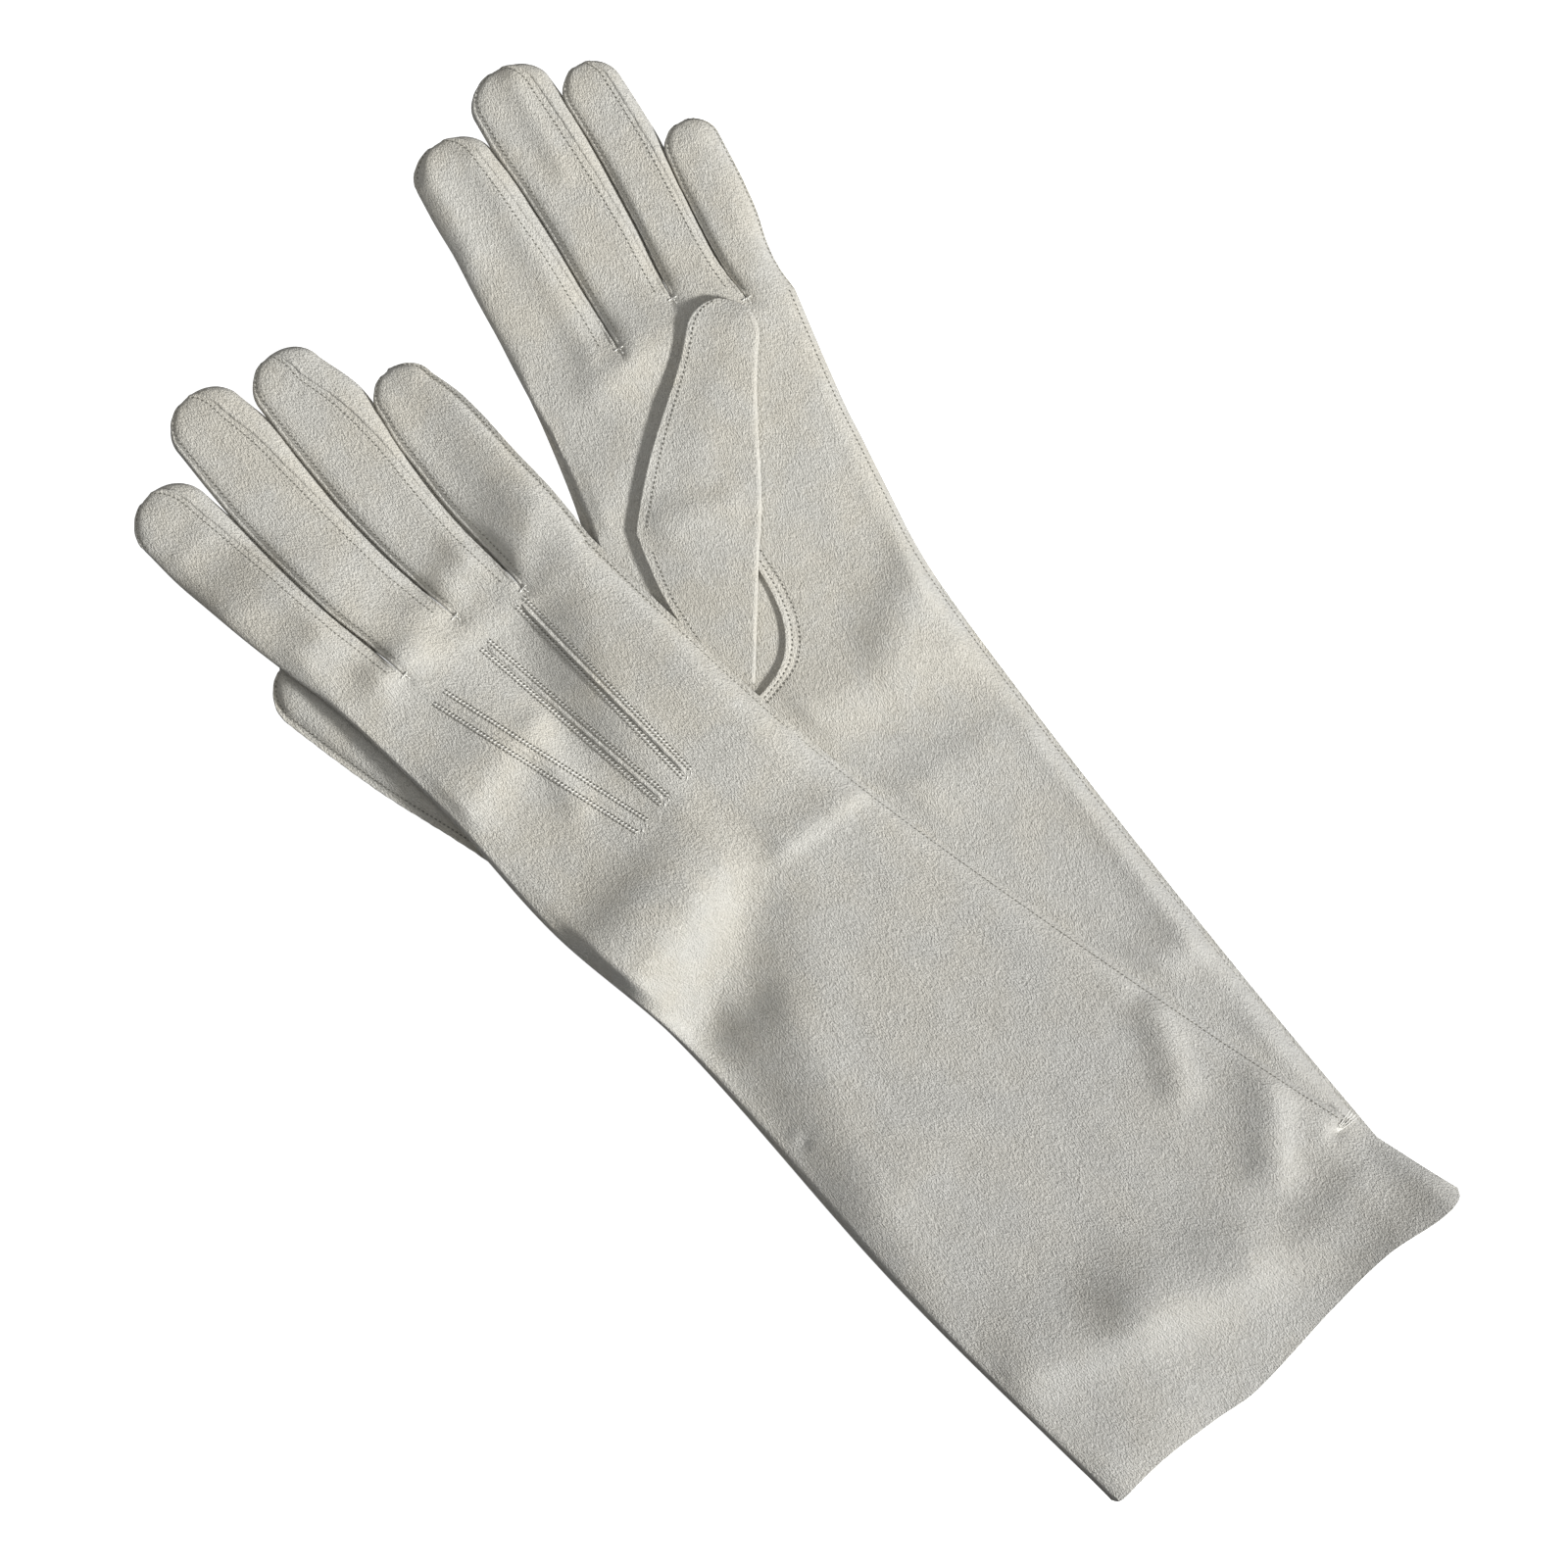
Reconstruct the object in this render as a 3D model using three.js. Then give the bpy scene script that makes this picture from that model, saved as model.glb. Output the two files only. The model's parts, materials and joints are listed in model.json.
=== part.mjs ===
// A pair of opera gloves lying flat: the left glove palm up, the right glove back up and partly over it.
// Millimetres, +Z up, fingers towards -X +Y. Each glove is drawn in its own plan, with its origin at the
// middle of the cuff, y running to the fingertips and x to the little finger, then laid in the world.
import * as THREE from "three";

// Fabric and clearances
const wall = 0.7; // thickness of the doubled fabric
const sewnGap = 0.3; // between two pieces that are sewn together
const rootGap = 0.6; // between the hand and the root of a finger
const slit = 0.4; // between the two edges that a seam closes
const restGap = 0.5; // between a piece and the piece that it rests on

// The glove pattern, the same for both hands
const armLength = 190; // cuff to wrist
const handLength = 100; // wrist to the forks of the fingers
const cuffWidth = 121.5;
const forearmWidth = 104.6;
const wristWidth = 84;
const palmWidth = 78;
const armHeight = 6.4; // flattened height of the arm
const fingerHeight = 5.8;
const thumbHeight = 4.6;
const thumbWidth = 21;
const foldShare = 1 / 8; // share of a folded sheet that goes round its fold
const roundIn = 10; // how far from a seam the fabric starts to close
const fingerNames = ["index", "middle", "ring", "little"];
const fingerReach = [83, 92, 82.5, 56]; // from the fork line to each fingertip
const fingerWidth = [19, 18, 16.4, 12.8];

// The raised tucks on the back of the hand and the seams
const pointWidth = 1.6;
const pointHeight = 0.8;
const pointLength = 63;
const pointGap = 0.75; // between a tuck and the back that it is sewn in
const seamWidth = 0.6;

// How each glove lies. Spines are sideways shifts of the middle line from cuff to forks. Forks are
// [share of the palm's width, distance past the fork line], and a tip is its sideways place.
const left = {
  name: "left",
  upperSide: "palm",
  cuff: { x: 121.9, y: -139.0 },
  turn: 120,
  spine: [-4, -9.1, -11.4, -15.6, -9.8, -6.5],
  cuffStart: [12, 6],
  forks: [[0, 12], [0.36, 12.5], [0.61, 17], [0.835, 7.3], [1, 3]],
  tips: [-32.3, -7.2, 12, 27.3],
  points: [[-23.5, -17], [-3, -3], [14, 9]],
  trankGrid: [16, 20],
};
const right = {
  name: "right",
  upperSide: "back",
  cuff: { x: 132.0, y: -147.5 },
  turn: 139.8,
  spine: [0, -2, 0, -0.5, 3, 5.2],
  cuffStart: [8, -9],
  forks: [[0, 2], [0.24, 1], [0.5, 1], [0.72, -8], [1, -13]],
  tips: [-23.8, 2, 24.6, 42.8],
  points: [[-13.6, -5], [4.7, 4], [19.3, 13.1]],
  trankGrid: [32, 28],
};
const pointRelief = pointHeight + pointGap + sewnGap; // room under the left hand for its tucks

const forkLine = armLength + handLength;
const seamHeight = 2 * wall + slit; // height of fabric where a seam closes it
const stations = [0, 0.44 * armLength, 0.9 * armLength]
  .concat([0.24, 0.66, 1].map((share) => armLength + share * handLength));
const widths = [cuffWidth, forearmWidth, wristWidth + 0.5, wristWidth - 1.5, palmWidth + 0.3, palmWidth];

const fabric = new THREE.MeshStandardMaterial({ color: 0xe4e1d8, roughness: 0.95, metalness: 0 });
const thread = new THREE.MeshStandardMaterial({ color: 0xeeebe3, roughness: 0.8, metalness: 0 });

const pair = new THREE.Group();

// A smooth value through (at[i], value[i]).
function through(at, value, where) {
  const last = at.length - 1;
  const t = THREE.MathUtils.clamp(where, at[0], at[last]);
  let i = 0;
  while (i < last - 1 && t > at[i + 1]) i += 1;
  const slope = (k) => {
    const a = Math.max(k - 1, 0);
    const b = Math.min(k + 1, last);
    return (value[b] - value[a]) / (at[b] - at[a]);
  };
  const span = at[i + 1] - at[i];
  const k = (t - at[i]) / span;
  const rise = value[i + 1] - value[i];
  const s0 = slope(i) * span;
  const s1 = slope(i + 1) * span;
  return value[i] + k * (s0 + k * (3 * rise - 2 * s0 - s1 + k * (s0 + s1 - 2 * rise)));
}

const lerp = THREE.MathUtils.lerp;
const mix = (a, b, t) => ({ x: lerp(a.x, b.x, t), y: lerp(a.y, b.y, t) });

function edges(lay, y) {
  const half = through(stations, widths, y) / 2;
  const middle = through(stations, lay.spine, y);
  return { low: middle - half, high: middle + half };
}

// The edge of the hand where the fingers start.
function forkEdge(lay, x) {
  const { low, high } = edges(lay, forkLine);
  const at = lay.forks.map(([share]) => lerp(low, high, share));
  const value = lay.forks.map(([, past]) => forkLine + past);
  return through(at, value, x);
}

function cuffEdge(lay, x) {
  const { low, high } = edges(lay, 0);
  return lerp(lay.cuffStart[0], lay.cuffStart[1], (x - low) / (high - low));
}

function toWorld(lay, x, y, z) {
  const a = THREE.MathUtils.degToRad(lay.turn);
  const wx = lay.cuff.x + y * Math.cos(a) + x * Math.sin(a);
  const wy = lay.cuff.y + y * Math.sin(a) - x * Math.cos(a);
  return new THREE.Vector3(wx, wy, z);
}

function toPlan(lay, wx, wy) {
  const a = THREE.MathUtils.degToRad(lay.turn);
  const dx = wx - lay.cuff.x;
  const dy = wy - lay.cuff.y;
  return { x: dx * Math.sin(a) - dy * Math.cos(a), y: dx * Math.cos(a) + dy * Math.sin(a) };
}

// How high the underside of each glove lies.
const thumbPivot = { x: -27, y: armLength + 0.5 * handLength };
const thumbTip = { x: -34, y: forkLine + 27 };

function overThumb(x, y) {
  const t = THREE.MathUtils.clamp((y - thumbPivot.y) / (thumbTip.y - thumbPivot.y), -0.45, 1);
  const axis = { x: lerp(thumbPivot.x, thumbTip.x, t), y: lerp(thumbPivot.y, thumbTip.y, t) };
  const away = Math.hypot(Math.max(x - axis.x, 0), y - axis.y);
  const full = thumbWidth / 2 + 5;
  return (thumbHeight + restGap) * (1 - THREE.MathUtils.smoothstep(away, full, full + 22));
}

function overLeftGlove(world) {
  const p = toPlan(left, world.x, world.y);
  const { low, high } = edges(left, Math.min(p.y, forkLine));
  const inside = Math.min(p.x - low, high - p.x);
  const height = Math.max(armHeight, fingerHeight) + restGap + leftRelief(p.x, p.y, 8);
  return height * THREE.MathUtils.smoothstep(inside, -30, -4);
}

// The left hand is a little higher where its tucks are under it, and this much further around them.
function leftRelief(x, y, further) {
  const across = 1 - THREE.MathUtils.smoothstep(Math.abs(x + 5), 20 + further, 40 + further);
  const start = armLength - further;
  const along = THREE.MathUtils.smoothstep(y, start - 10, start + 15);
  const end = forkLine + further;
  return pointRelief * across * along * (1 - THREE.MathUtils.smoothstep(y, end, end + 25));
}

function lift(lay, x, y) {
  if (lay === left) return leftRelief(x, y, 0);
  const world = toWorld(lay, x, y, 0);
  return Math.hypot(overThumb(x, y), overLeftGlove(world));
}

// A closed sheet: place(u, v, w) puts the point at shares u across, v along and w through it.
function sheet(name, material, across, along, place) {
  const geometry = new THREE.BoxGeometry(1, 1, 1, across, along, 1);
  const p = geometry.attributes.position;
  for (let i = 0; i < p.count; i += 1) {
    const at = place(p.getX(i) + 0.5, p.getY(i) + 0.5, p.getZ(i) + 0.5);
    p.setXYZ(i, at.x, at.y, at.z);
  }
  faceOut(geometry);
  geometry.computeVertexNormals();
  const mesh = new THREE.Mesh(geometry, material.clone());
  mesh.name = name;
  pair.add(mesh);
  return mesh;
}

function faceOut(geometry) {
  const p = geometry.attributes.position;
  const index = geometry.index.array;
  const [a, b, c] = [new THREE.Vector3(), new THREE.Vector3(), new THREE.Vector3()];
  let volume = 0;
  for (let i = 0; i < index.length; i += 3) {
    a.fromBufferAttribute(p, index[i]);
    b.fromBufferAttribute(p, index[i + 1]);
    c.fromBufferAttribute(p, index[i + 2]);
    volume += a.dot(b.cross(c));
  }
  if (volume > 0) return;
  for (let i = 0; i < index.length; i += 3) {
    [index[i + 1], index[i + 2]] = [index[i + 2], index[i + 1]];
  }
}

// A sheet folded in two. q runs from the lower free edge (-1) round the fold (0) to the upper one (1).
// The answer is the distance from the fold towards the free edges and the height.
function folded(q, w, width, height, edgeHeight, closing) {
  const side = Math.sign(q) || 1;
  const radius = height / 2;
  const inner = w * wall;
  if (Math.abs(q) <= foldShare) {
    const angle = (Math.abs(q) / foldShare) * (Math.PI / 2);
    const r = radius - inner;
    return { out: radius - r * Math.cos(angle), z: radius + side * r * Math.sin(angle) };
  }
  const s = 1 - Math.pow((1 - Math.abs(q)) / (1 - foldShare), 1.2);
  const out = radius + s * (width - radius);
  if (side < 0) return { out, z: inner };
  return { out, z: closed(width - out, height, edgeHeight, closing) - inner };
}

// The height of the top surface at a distance from the edge where it closes to edgeHeight.
function closed(distance, height, edgeHeight, closing) {
  const k = THREE.MathUtils.clamp(1 - distance / closing, 0, 1);
  return edgeHeight + (height - edgeHeight) * Math.sqrt(1 - k * k);
}

// The hand and arm, one piece folded at the index finger's side and open along the side seam.
function trank(lay) {
  const [across, along] = lay.trankGrid;
  sheet(`${lay.name}_trank`, fabric, across, along, (u, v, w) => {
    const nominal = lerp(0, forkLine, v);
    const { low, high } = edges(lay, nominal);
    const height = handHeight(nominal);
    const p = folded(2 * u - 1, w, high - low, height, seamHeight, roundIn);
    const x = low + p.out;
    const y = lerp(cuffEdge(lay, x), forkEdge(lay, x), v);
    return toWorld(lay, x, y, p.z + lift(lay, x, y));
  });
}

function handHeight(y) {
  return lerp(armHeight, fingerHeight, THREE.MathUtils.smoothstep(y, armLength, forkLine));
}

// The plan of a finger: rows from the curved root to the round tip. Rows 0 to 1 are the straight part,
// and turn is the angle round the tip.
const capTurn = THREE.MathUtils.degToRad(76);

function fingerPlan(lay, i) {
  const { low, high } = edges(lay, forkLine);
  const radius = fingerWidth[i] / 2;
  const a = lerp(low, high, lay.forks[i][0]) + sewnGap;
  const b = lerp(low, high, lay.forks[i + 1][0]) - sewnGap;
  const root = (s) => {
    const x = lerp(a, b, (s + 1) / 2);
    return { x, y: forkEdge(lay, x) + rootGap };
  };
  const tip = { x: lay.tips[i], y: forkLine + fingerReach[i] - radius };
  const middle = root(0);
  const length = Math.hypot(tip.x - middle.x, tip.y - middle.y);
  const ahead = { x: (tip.x - middle.x) / length, y: (tip.y - middle.y) / length };
  const aside = { x: ahead.y, y: -ahead.x };
  const at = (s, v, straightRows) => {
    if (v <= straightRows) {
      const end = { x: tip.x + s * radius * aside.x, y: tip.y + s * radius * aside.y };
      return { ...mix(root(s), end, v / straightRows), fullness: 1 };
    }
    const turn = ((v - straightRows) / (1 - straightRows)) * capTurn;
    const across = s * radius * Math.cos(turn);
    const on = radius * Math.sin(turn);
    return {
      x: tip.x + across * aside.x + on * ahead.x,
      y: tip.y + across * aside.y + on * ahead.y,
      fullness: Math.cos(turn),
    };
  };
  return { at, aside, ahead, root, radius };
}

const fingerRows = 8;
const fingerColumns = 4;
const straightRows = 5 / fingerRows; // the other rows go round the tip
const fourchetteShare = 0.75; // height of a finger's side against its middle

// The height of a finger's top surface. A sewn side stays open for its fourchette, the outer side of
// the little finger closes.
function fingerTop(i, s, fullness) {
  const closesHere = i === 3 && s > 0;
  const share = closesHere ? 0 : fourchetteShare;
  const side = 1 - (1 - share) * Math.pow(Math.abs(s), closesHere ? 3 : 4);
  return seamHeight + (fingerHeight - seamHeight) * fullness * side;
}

function finger(lay, i) {
  const plan = fingerPlan(lay, i);
  const name = `${lay.name}_${fingerNames[i]}`;
  const lower = lay.upperSide === "back" ? "palm" : "back";
  if (i === 0) {
    indexTab(lay, plan, `${name}_tab`);
  } else {
    sheet(`${name}_${lay.upperSide}`, fabric, fingerColumns, fingerRows, (u, v, w) => {
      const s = 2 * u - 1;
      const p = plan.at(s, v, straightRows);
      const z = fingerTop(i, s, p.fullness) - w * wall;
      return toWorld(lay, p.x, p.y, z + lift(lay, p.x, p.y));
    });
    sheet(`${name}_${lower}`, fabric, fingerColumns, fingerRows, (u, v, w) => {
      const p = plan.at(2 * u - 1, v, straightRows);
      return toWorld(lay, p.x, p.y, w * wall + lift(lay, p.x, p.y));
    });
    fourchette(lay, plan, i, -1, `${name}_fourchette_${fingerNames[i - 1]}_side`);
  }
  if (i < 3) fourchette(lay, plan, i, 1, `${name}_fourchette_${fingerNames[i + 1]}_side`);
}

// The index finger's back and palm are one tab, folded at the outer side.
function indexTab(lay, plan, name) {
  sheet(name, fabric, 16, fingerRows, (u, v, w) => {
    const probe = plan.at(0, v, straightRows);
    const a = plan.at(-1, v, straightRows);
    const b = plan.at(1, v, straightRows);
    const width = Math.hypot(b.x - a.x, b.y - a.y);
    const height = seamHeight + (fingerHeight - seamHeight) * probe.fullness;
    const open = seamHeight + (fingerHeight - seamHeight) * probe.fullness * fourchetteShare;
    const p = folded(2 * u - 1, w, width, height, open, width / 4);
    const at = plan.at((2 * p.out) / width - 1, v, straightRows);
    return toWorld(lay, at.x, at.y, p.z + lift(lay, at.x, at.y));
  });
}

// The strip between the back and the palm of a finger, on one of its sides.
const fourchetteInset = 0.3; // how far the raw edges stand past the strip
const fourchetteRows = fingerRows - 1; // it ends one row short of the tip

function fourchette(lay, plan, i, side, name) {
  sheet(name, fabric, 1, fourchetteRows, (u, v, w) => {
    const row = (v * fourchetteRows) / fingerRows;
    const edge = plan.at(side, row, straightRows);
    const next = plan.at(side * (1 - 2 / fingerColumns), row, straightRows);
    const share = (fourchetteInset + w * wall) / Math.hypot(next.x - edge.x, next.y - edge.y);
    const { x, y } = mix(edge, next, share);
    const base = lerp(lift(lay, edge.x, edge.y), lift(lay, next.x, next.y), share);
    const low = wall + sewnGap;
    const high = fingerTop(i, side, edge.fullness) - wall - sewnGap;
    return toWorld(lay, x, y, lerp(low, high, u) + base);
  });
}

// The side seam closes the hand and arm along the little finger's side.
function sideSeam(lay) {
  sheet(`${lay.name}_side_seam`, thread, 1, lay.trankGrid[1], (u, v, w) => {
    const nominal = lerp(0, forkLine, v);
    const { high } = edges(lay, nominal);
    const y = lerp(cuffEdge(lay, high), forkEdge(lay, high), v);
    const x = high + sewnGap + w * seamWidth;
    return toWorld(lay, x, y, lerp(0.2, seamHeight, u) + lift(lay, high, y));
  });
}

// The three tucks on the back of the hand: on top of the right glove and under the left one.
function points(lay) {
  const end = forkLine - 0.1 * handLength;
  lay.points.forEach(([top, foot], n) => {
    sheet(`${lay.name}_point_${n + 1}`, fabric, 1, 8, (u, v, w) => {
      const y = lerp(end - pointLength, end, v);
      const x = lerp(foot, top, v) + (u - 0.5) * pointWidth;
      const above = handHeight(y) + pointGap + w * pointHeight;
      const below = -pointGap - w * pointHeight;
      return toWorld(lay, x, y, lift(lay, x, y) + (lay === right ? above : below));
    });
  });
}

// A thumb row: from its outseam on the index finger's side to its fold. q and w as in folded().
function thumbRow(lay, a, b, q, w, height, base) {
  const width = Math.hypot(b.x - a.x, b.y - a.y);
  const p = folded(q, w, width, height, seamHeight, Math.min(6, width / 3));
  const at = mix(b, a, p.out / width);
  return toWorld(lay, at.x, at.y, p.z + base);
}

// The left thumb is folded over the palm, and its root is sewn into the palm below the hinge line.
const leftHinge = [{ x: -36.7, y: armLength + 67.6 }, { x: -10.8, y: armLength + 48.1 }];
const leftThumbReach = 54.5; // from the hinge line to the middle of the round tip

function leftThumb() {
  const [a, b] = leftHinge;
  const width = Math.hypot(b.x - a.x, b.y - a.y);
  const aside = { x: (b.x - a.x) / width, y: (b.y - a.y) / width };
  const ahead = { x: -aside.y, y: aside.x };
  const middle = mix(a, b, 0.5);
  const tip = { x: middle.x + leftThumbReach * ahead.x, y: middle.y + leftThumbReach * ahead.y };
  const tipRadius = thumbWidth / 2 - 1;
  const base = Math.max(armHeight, fingerHeight) + pointRelief + restGap;
  sheet("left_thumb", fabric, 16, fingerRows, (u, v, w) => {
    const turn = (Math.max(v - straightRows, 0) / (1 - straightRows)) * capTurn;
    const k = Math.min(v / straightRows, 1);
    const half = lerp(width / 2, tipRadius, k) * Math.cos(turn);
    const on = rootGap * (1 - k) + tipRadius * Math.sin(turn);
    const row = mix(middle, tip, k);
    const centre = { x: row.x + on * ahead.x, y: row.y + on * ahead.y };
    const low = { x: centre.x - half * aside.x, y: centre.y - half * aside.y };
    const high = { x: centre.x + half * aside.x, y: centre.y + half * aside.y };
    const height = lerp(seamHeight, thumbHeight, Math.cos(turn));
    return thumbRow(left, low, high, 2 * u - 1, w, height, base);
  });
  const foot = { x: -29.5, y: armLength + 23 };
  sheet("left_thumb_root", fabric, 16, 3, (u, v, w) => {
    const k = lerp(0.15, 1, v);
    const low = mix(foot, a, k);
    const high = mix(foot, b, k);
    const height = lerp(seamHeight, thumbHeight, Math.sqrt(v));
    return thumbRow(left, low, high, 2 * u - 1, w, height, base);
  });
}

// The right thumb lies on the ground under the palm and swings out about a pivot at its root.
function rightThumb() {
  const along = Math.hypot(thumbTip.x - thumbPivot.x, thumbTip.y - thumbPivot.y);
  const ahead = { x: (thumbTip.x - thumbPivot.x) / along, y: (thumbTip.y - thumbPivot.y) / along };
  const aside = { x: ahead.y, y: -ahead.x };
  const radius = thumbWidth / 2;
  const tipRadius = radius - 1;
  sheet("right_thumb", fabric, 16, 10, (u, v, w) => {
    const back = Math.min((v - 0.25) / 0.25, 0) * capTurn;
    const front = Math.max((v - 0.67) / 0.33, 0) * capTurn;
    const k = THREE.MathUtils.clamp((v - 0.25) / 0.42, 0, 1);
    const full = lerp(radius, tipRadius, k);
    const half = full * Math.cos(back + front);
    const reach = along - tipRadius;
    const on = k * reach + full * Math.sin(back + front);
    const centre = { x: thumbPivot.x + on * ahead.x, y: thumbPivot.y + on * ahead.y };
    const low = { x: centre.x - half * aside.x, y: centre.y - half * aside.y };
    const high = { x: centre.x + half * aside.x, y: centre.y + half * aside.y };
    const height = lerp(seamHeight, thumbHeight, Math.cos(back + front));
    return thumbRow(right, low, high, 2 * u - 1, w, height, 0);
  });
  const top = thumbPivot.y - radius - 2 * rootGap;
  sheet("right_thumb_root", fabric, 16, 3, (u, v, w) => {
    const y = lerp(armLength + 14, top, v);
    const half = lerp(4, radius - 2, v);
    const low = { x: thumbPivot.x - half, y };
    const high = { x: thumbPivot.x + half, y };
    const height = lerp(seamHeight, thumbHeight, Math.sqrt(v));
    return thumbRow(right, low, high, 2 * u - 1, w, height, 0);
  });
}

for (const lay of [left, right]) {
  trank(lay);
  sideSeam(lay);
  points(lay);
  for (let i = 0; i < fingerNames.length; i += 1) finger(lay, i);
}
leftThumb();
rightThumb();

// The origin is under the middle of the pair, at the height that it lies on.
const box = new THREE.Box3().setFromObject(pair);
pair.position.set(-(box.min.x + box.max.x) / 2, -(box.min.y + box.max.y) / 2, -box.min.z);

const gloves = new THREE.Group();
gloves.add(pair);

export default gloves;
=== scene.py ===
"""A pair of opera gloves lying flat, built as the glove maker's own pieces."""

import json
import math

import bmesh
import bpy
import numpy as np
from mathutils import Matrix, Vector


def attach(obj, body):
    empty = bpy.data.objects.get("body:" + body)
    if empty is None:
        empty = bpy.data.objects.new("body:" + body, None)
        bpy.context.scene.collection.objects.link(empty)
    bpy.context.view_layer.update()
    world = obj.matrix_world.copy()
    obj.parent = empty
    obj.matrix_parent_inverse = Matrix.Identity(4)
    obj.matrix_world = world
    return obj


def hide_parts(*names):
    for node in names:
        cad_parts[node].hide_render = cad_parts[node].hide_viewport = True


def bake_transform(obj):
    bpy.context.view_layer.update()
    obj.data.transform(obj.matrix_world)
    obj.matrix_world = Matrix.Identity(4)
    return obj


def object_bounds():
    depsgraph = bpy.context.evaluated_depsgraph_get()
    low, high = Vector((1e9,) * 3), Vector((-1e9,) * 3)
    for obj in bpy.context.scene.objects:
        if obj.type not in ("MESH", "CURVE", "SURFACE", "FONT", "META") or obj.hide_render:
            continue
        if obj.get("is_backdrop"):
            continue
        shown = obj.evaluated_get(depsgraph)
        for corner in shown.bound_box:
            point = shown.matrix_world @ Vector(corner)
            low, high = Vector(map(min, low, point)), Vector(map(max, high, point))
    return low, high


bl_info = {
    "name": "Opera Gloves",
    "version": (1, 0, 0),
    "blender": (4, 5, 0),
    "location": "3D View > Sidebar > Opera Gloves",
    "description": "Builds a pair of long sueded gloves with fourchettes, thumbs and points",
    "category": "Object",
}

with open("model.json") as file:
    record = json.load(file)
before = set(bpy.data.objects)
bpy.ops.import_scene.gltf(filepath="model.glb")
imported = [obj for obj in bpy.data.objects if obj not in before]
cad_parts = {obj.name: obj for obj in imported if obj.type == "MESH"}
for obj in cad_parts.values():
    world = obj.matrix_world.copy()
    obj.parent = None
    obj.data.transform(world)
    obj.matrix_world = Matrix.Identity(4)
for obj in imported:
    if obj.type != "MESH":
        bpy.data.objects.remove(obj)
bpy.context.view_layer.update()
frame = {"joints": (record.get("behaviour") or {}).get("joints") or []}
MM = 0.001


# ------------------------------------------------------------------ the pattern, in millimetres

ARM_LENGTH = 190
HAND_LENGTH = 100
FORK_LINE = ARM_LENGTH + HAND_LENGTH
CUFF_WIDTH = 121.5
STATIONS = [0, 83.6, 171, 214, 256, 290]
WIDTHS = [CUFF_WIDTH, 104.6, 84.5, 82.5, 78.3, 78]
FINGERS = ["index", "middle", "ring", "little"]
REACH = [83, 92, 82.5, 56]
REST_GAP = 0.5
THUMB_GAP = 0.4  # from the left palm to the thumb that lies on it
PALM_RISE = 1.85  # how far the left palm stands up in its middle
STRAIGHT = 0.7  # share of a finger's rows before its round tip
FORK_DIP = 0.34  # how far the cloth sinks at a fork, as a share of its height
FOLD_ROUND = 0.36  # how narrow the round of a folded edge is, as a share of half its height
EDGE_FADE = 5  # a soft fold dies away over this distance from an edge
TRANK_FOLD = 0.33  # where the hand and arm fold, as a share of the way round
TRANK_TURN = 0.05  # half the round of that fold, as the same share
THUMB_TURN = 0.16  # half the round of a thumb's fold, as a share of the way to its seam
THUMB_STRAIGHT = 0.68  # share of a thumb's rows before its round tip
NEAR_SEAM = 0.11  # a finger's upper seam on the index finger's side, as its place round the finger
UNDER_SEAM = -0.12  # the lower seam on that side
FAR_SEAM = -0.86  # the lower seam on the little finger's side
SIDE_ROUND = 0.44  # width of the round at a finger's side, as a share of half the finger's width
UNDER_ROUND = 0.45  # the same underneath
TIP_HEIGHT = 0.86  # a finger's height at its tip, as a share of that at its root
FLARE = 1.9  # how far a finger's underside stands out past its upper side
POINT_LENGTH = 63
POINT_END = FORK_LINE - 10


def lerp(a, b, t):
    """From a to b as t goes from 0 to 1."""
    return a + (b - a) * t


def smooth(x, a, b):
    """From 0 to 1 as x goes from a to b, gently at both ends."""
    t = np.clip((np.asarray(x, float) - a) / (b - a), 0, 1)
    return t * t * (3 - 2 * t)


def arc(t):
    """A quarter round: 0 at the edge, 1 from one closing width in."""
    k = 1 - np.clip(t, 0, 1)
    return np.sqrt(1 - k * k)


def through(at, value, where):
    """A smooth value through the given stations."""
    at, value = np.asarray(at, float), np.asarray(value, float)
    last = len(at) - 1
    t = np.clip(np.asarray(where, float), at[0], at[last])
    i = np.clip(np.searchsorted(at, t, side="right") - 1, 0, last - 1)
    before = np.maximum(np.arange(last + 1) - 1, 0)
    after = np.minimum(np.arange(last + 1) + 1, last)
    slope = (value[after] - value[before]) / (at[after] - at[before])
    span = at[i + 1] - at[i]
    k = (t - at[i]) / span
    rise = value[i + 1] - value[i]
    s0 = slope[i] * span
    s1 = slope[i + 1] * span
    return value[i] + k * (s0 + k * (3 * rise - 2 * s0 - s1 + k * (s0 + s1 - 2 * rise)))


def swell(x, y, fold):
    """A soft fold in the cloth. It runs from one point to another, and falls away over its own
    distance on the left and on the right of that line."""
    x1, y1, x2, y2, height, left, right = fold
    length = max(math.hypot(x2 - x1, y2 - y1), 1e-6)
    ax, ay = (x2 - x1) / length, (y2 - y1) / length
    along = (x - x1) * ax + (y - y1) * ay
    aside = (y - y1) * ax - (x - x1) * ay
    past = np.maximum(np.maximum(-along, along - length), 0)
    reach = np.where(aside > 0, left, right)
    end = 0.5 * (left + right)
    return height * np.exp(-((aside / reach) ** 2) - (past / end) ** 2)


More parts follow.
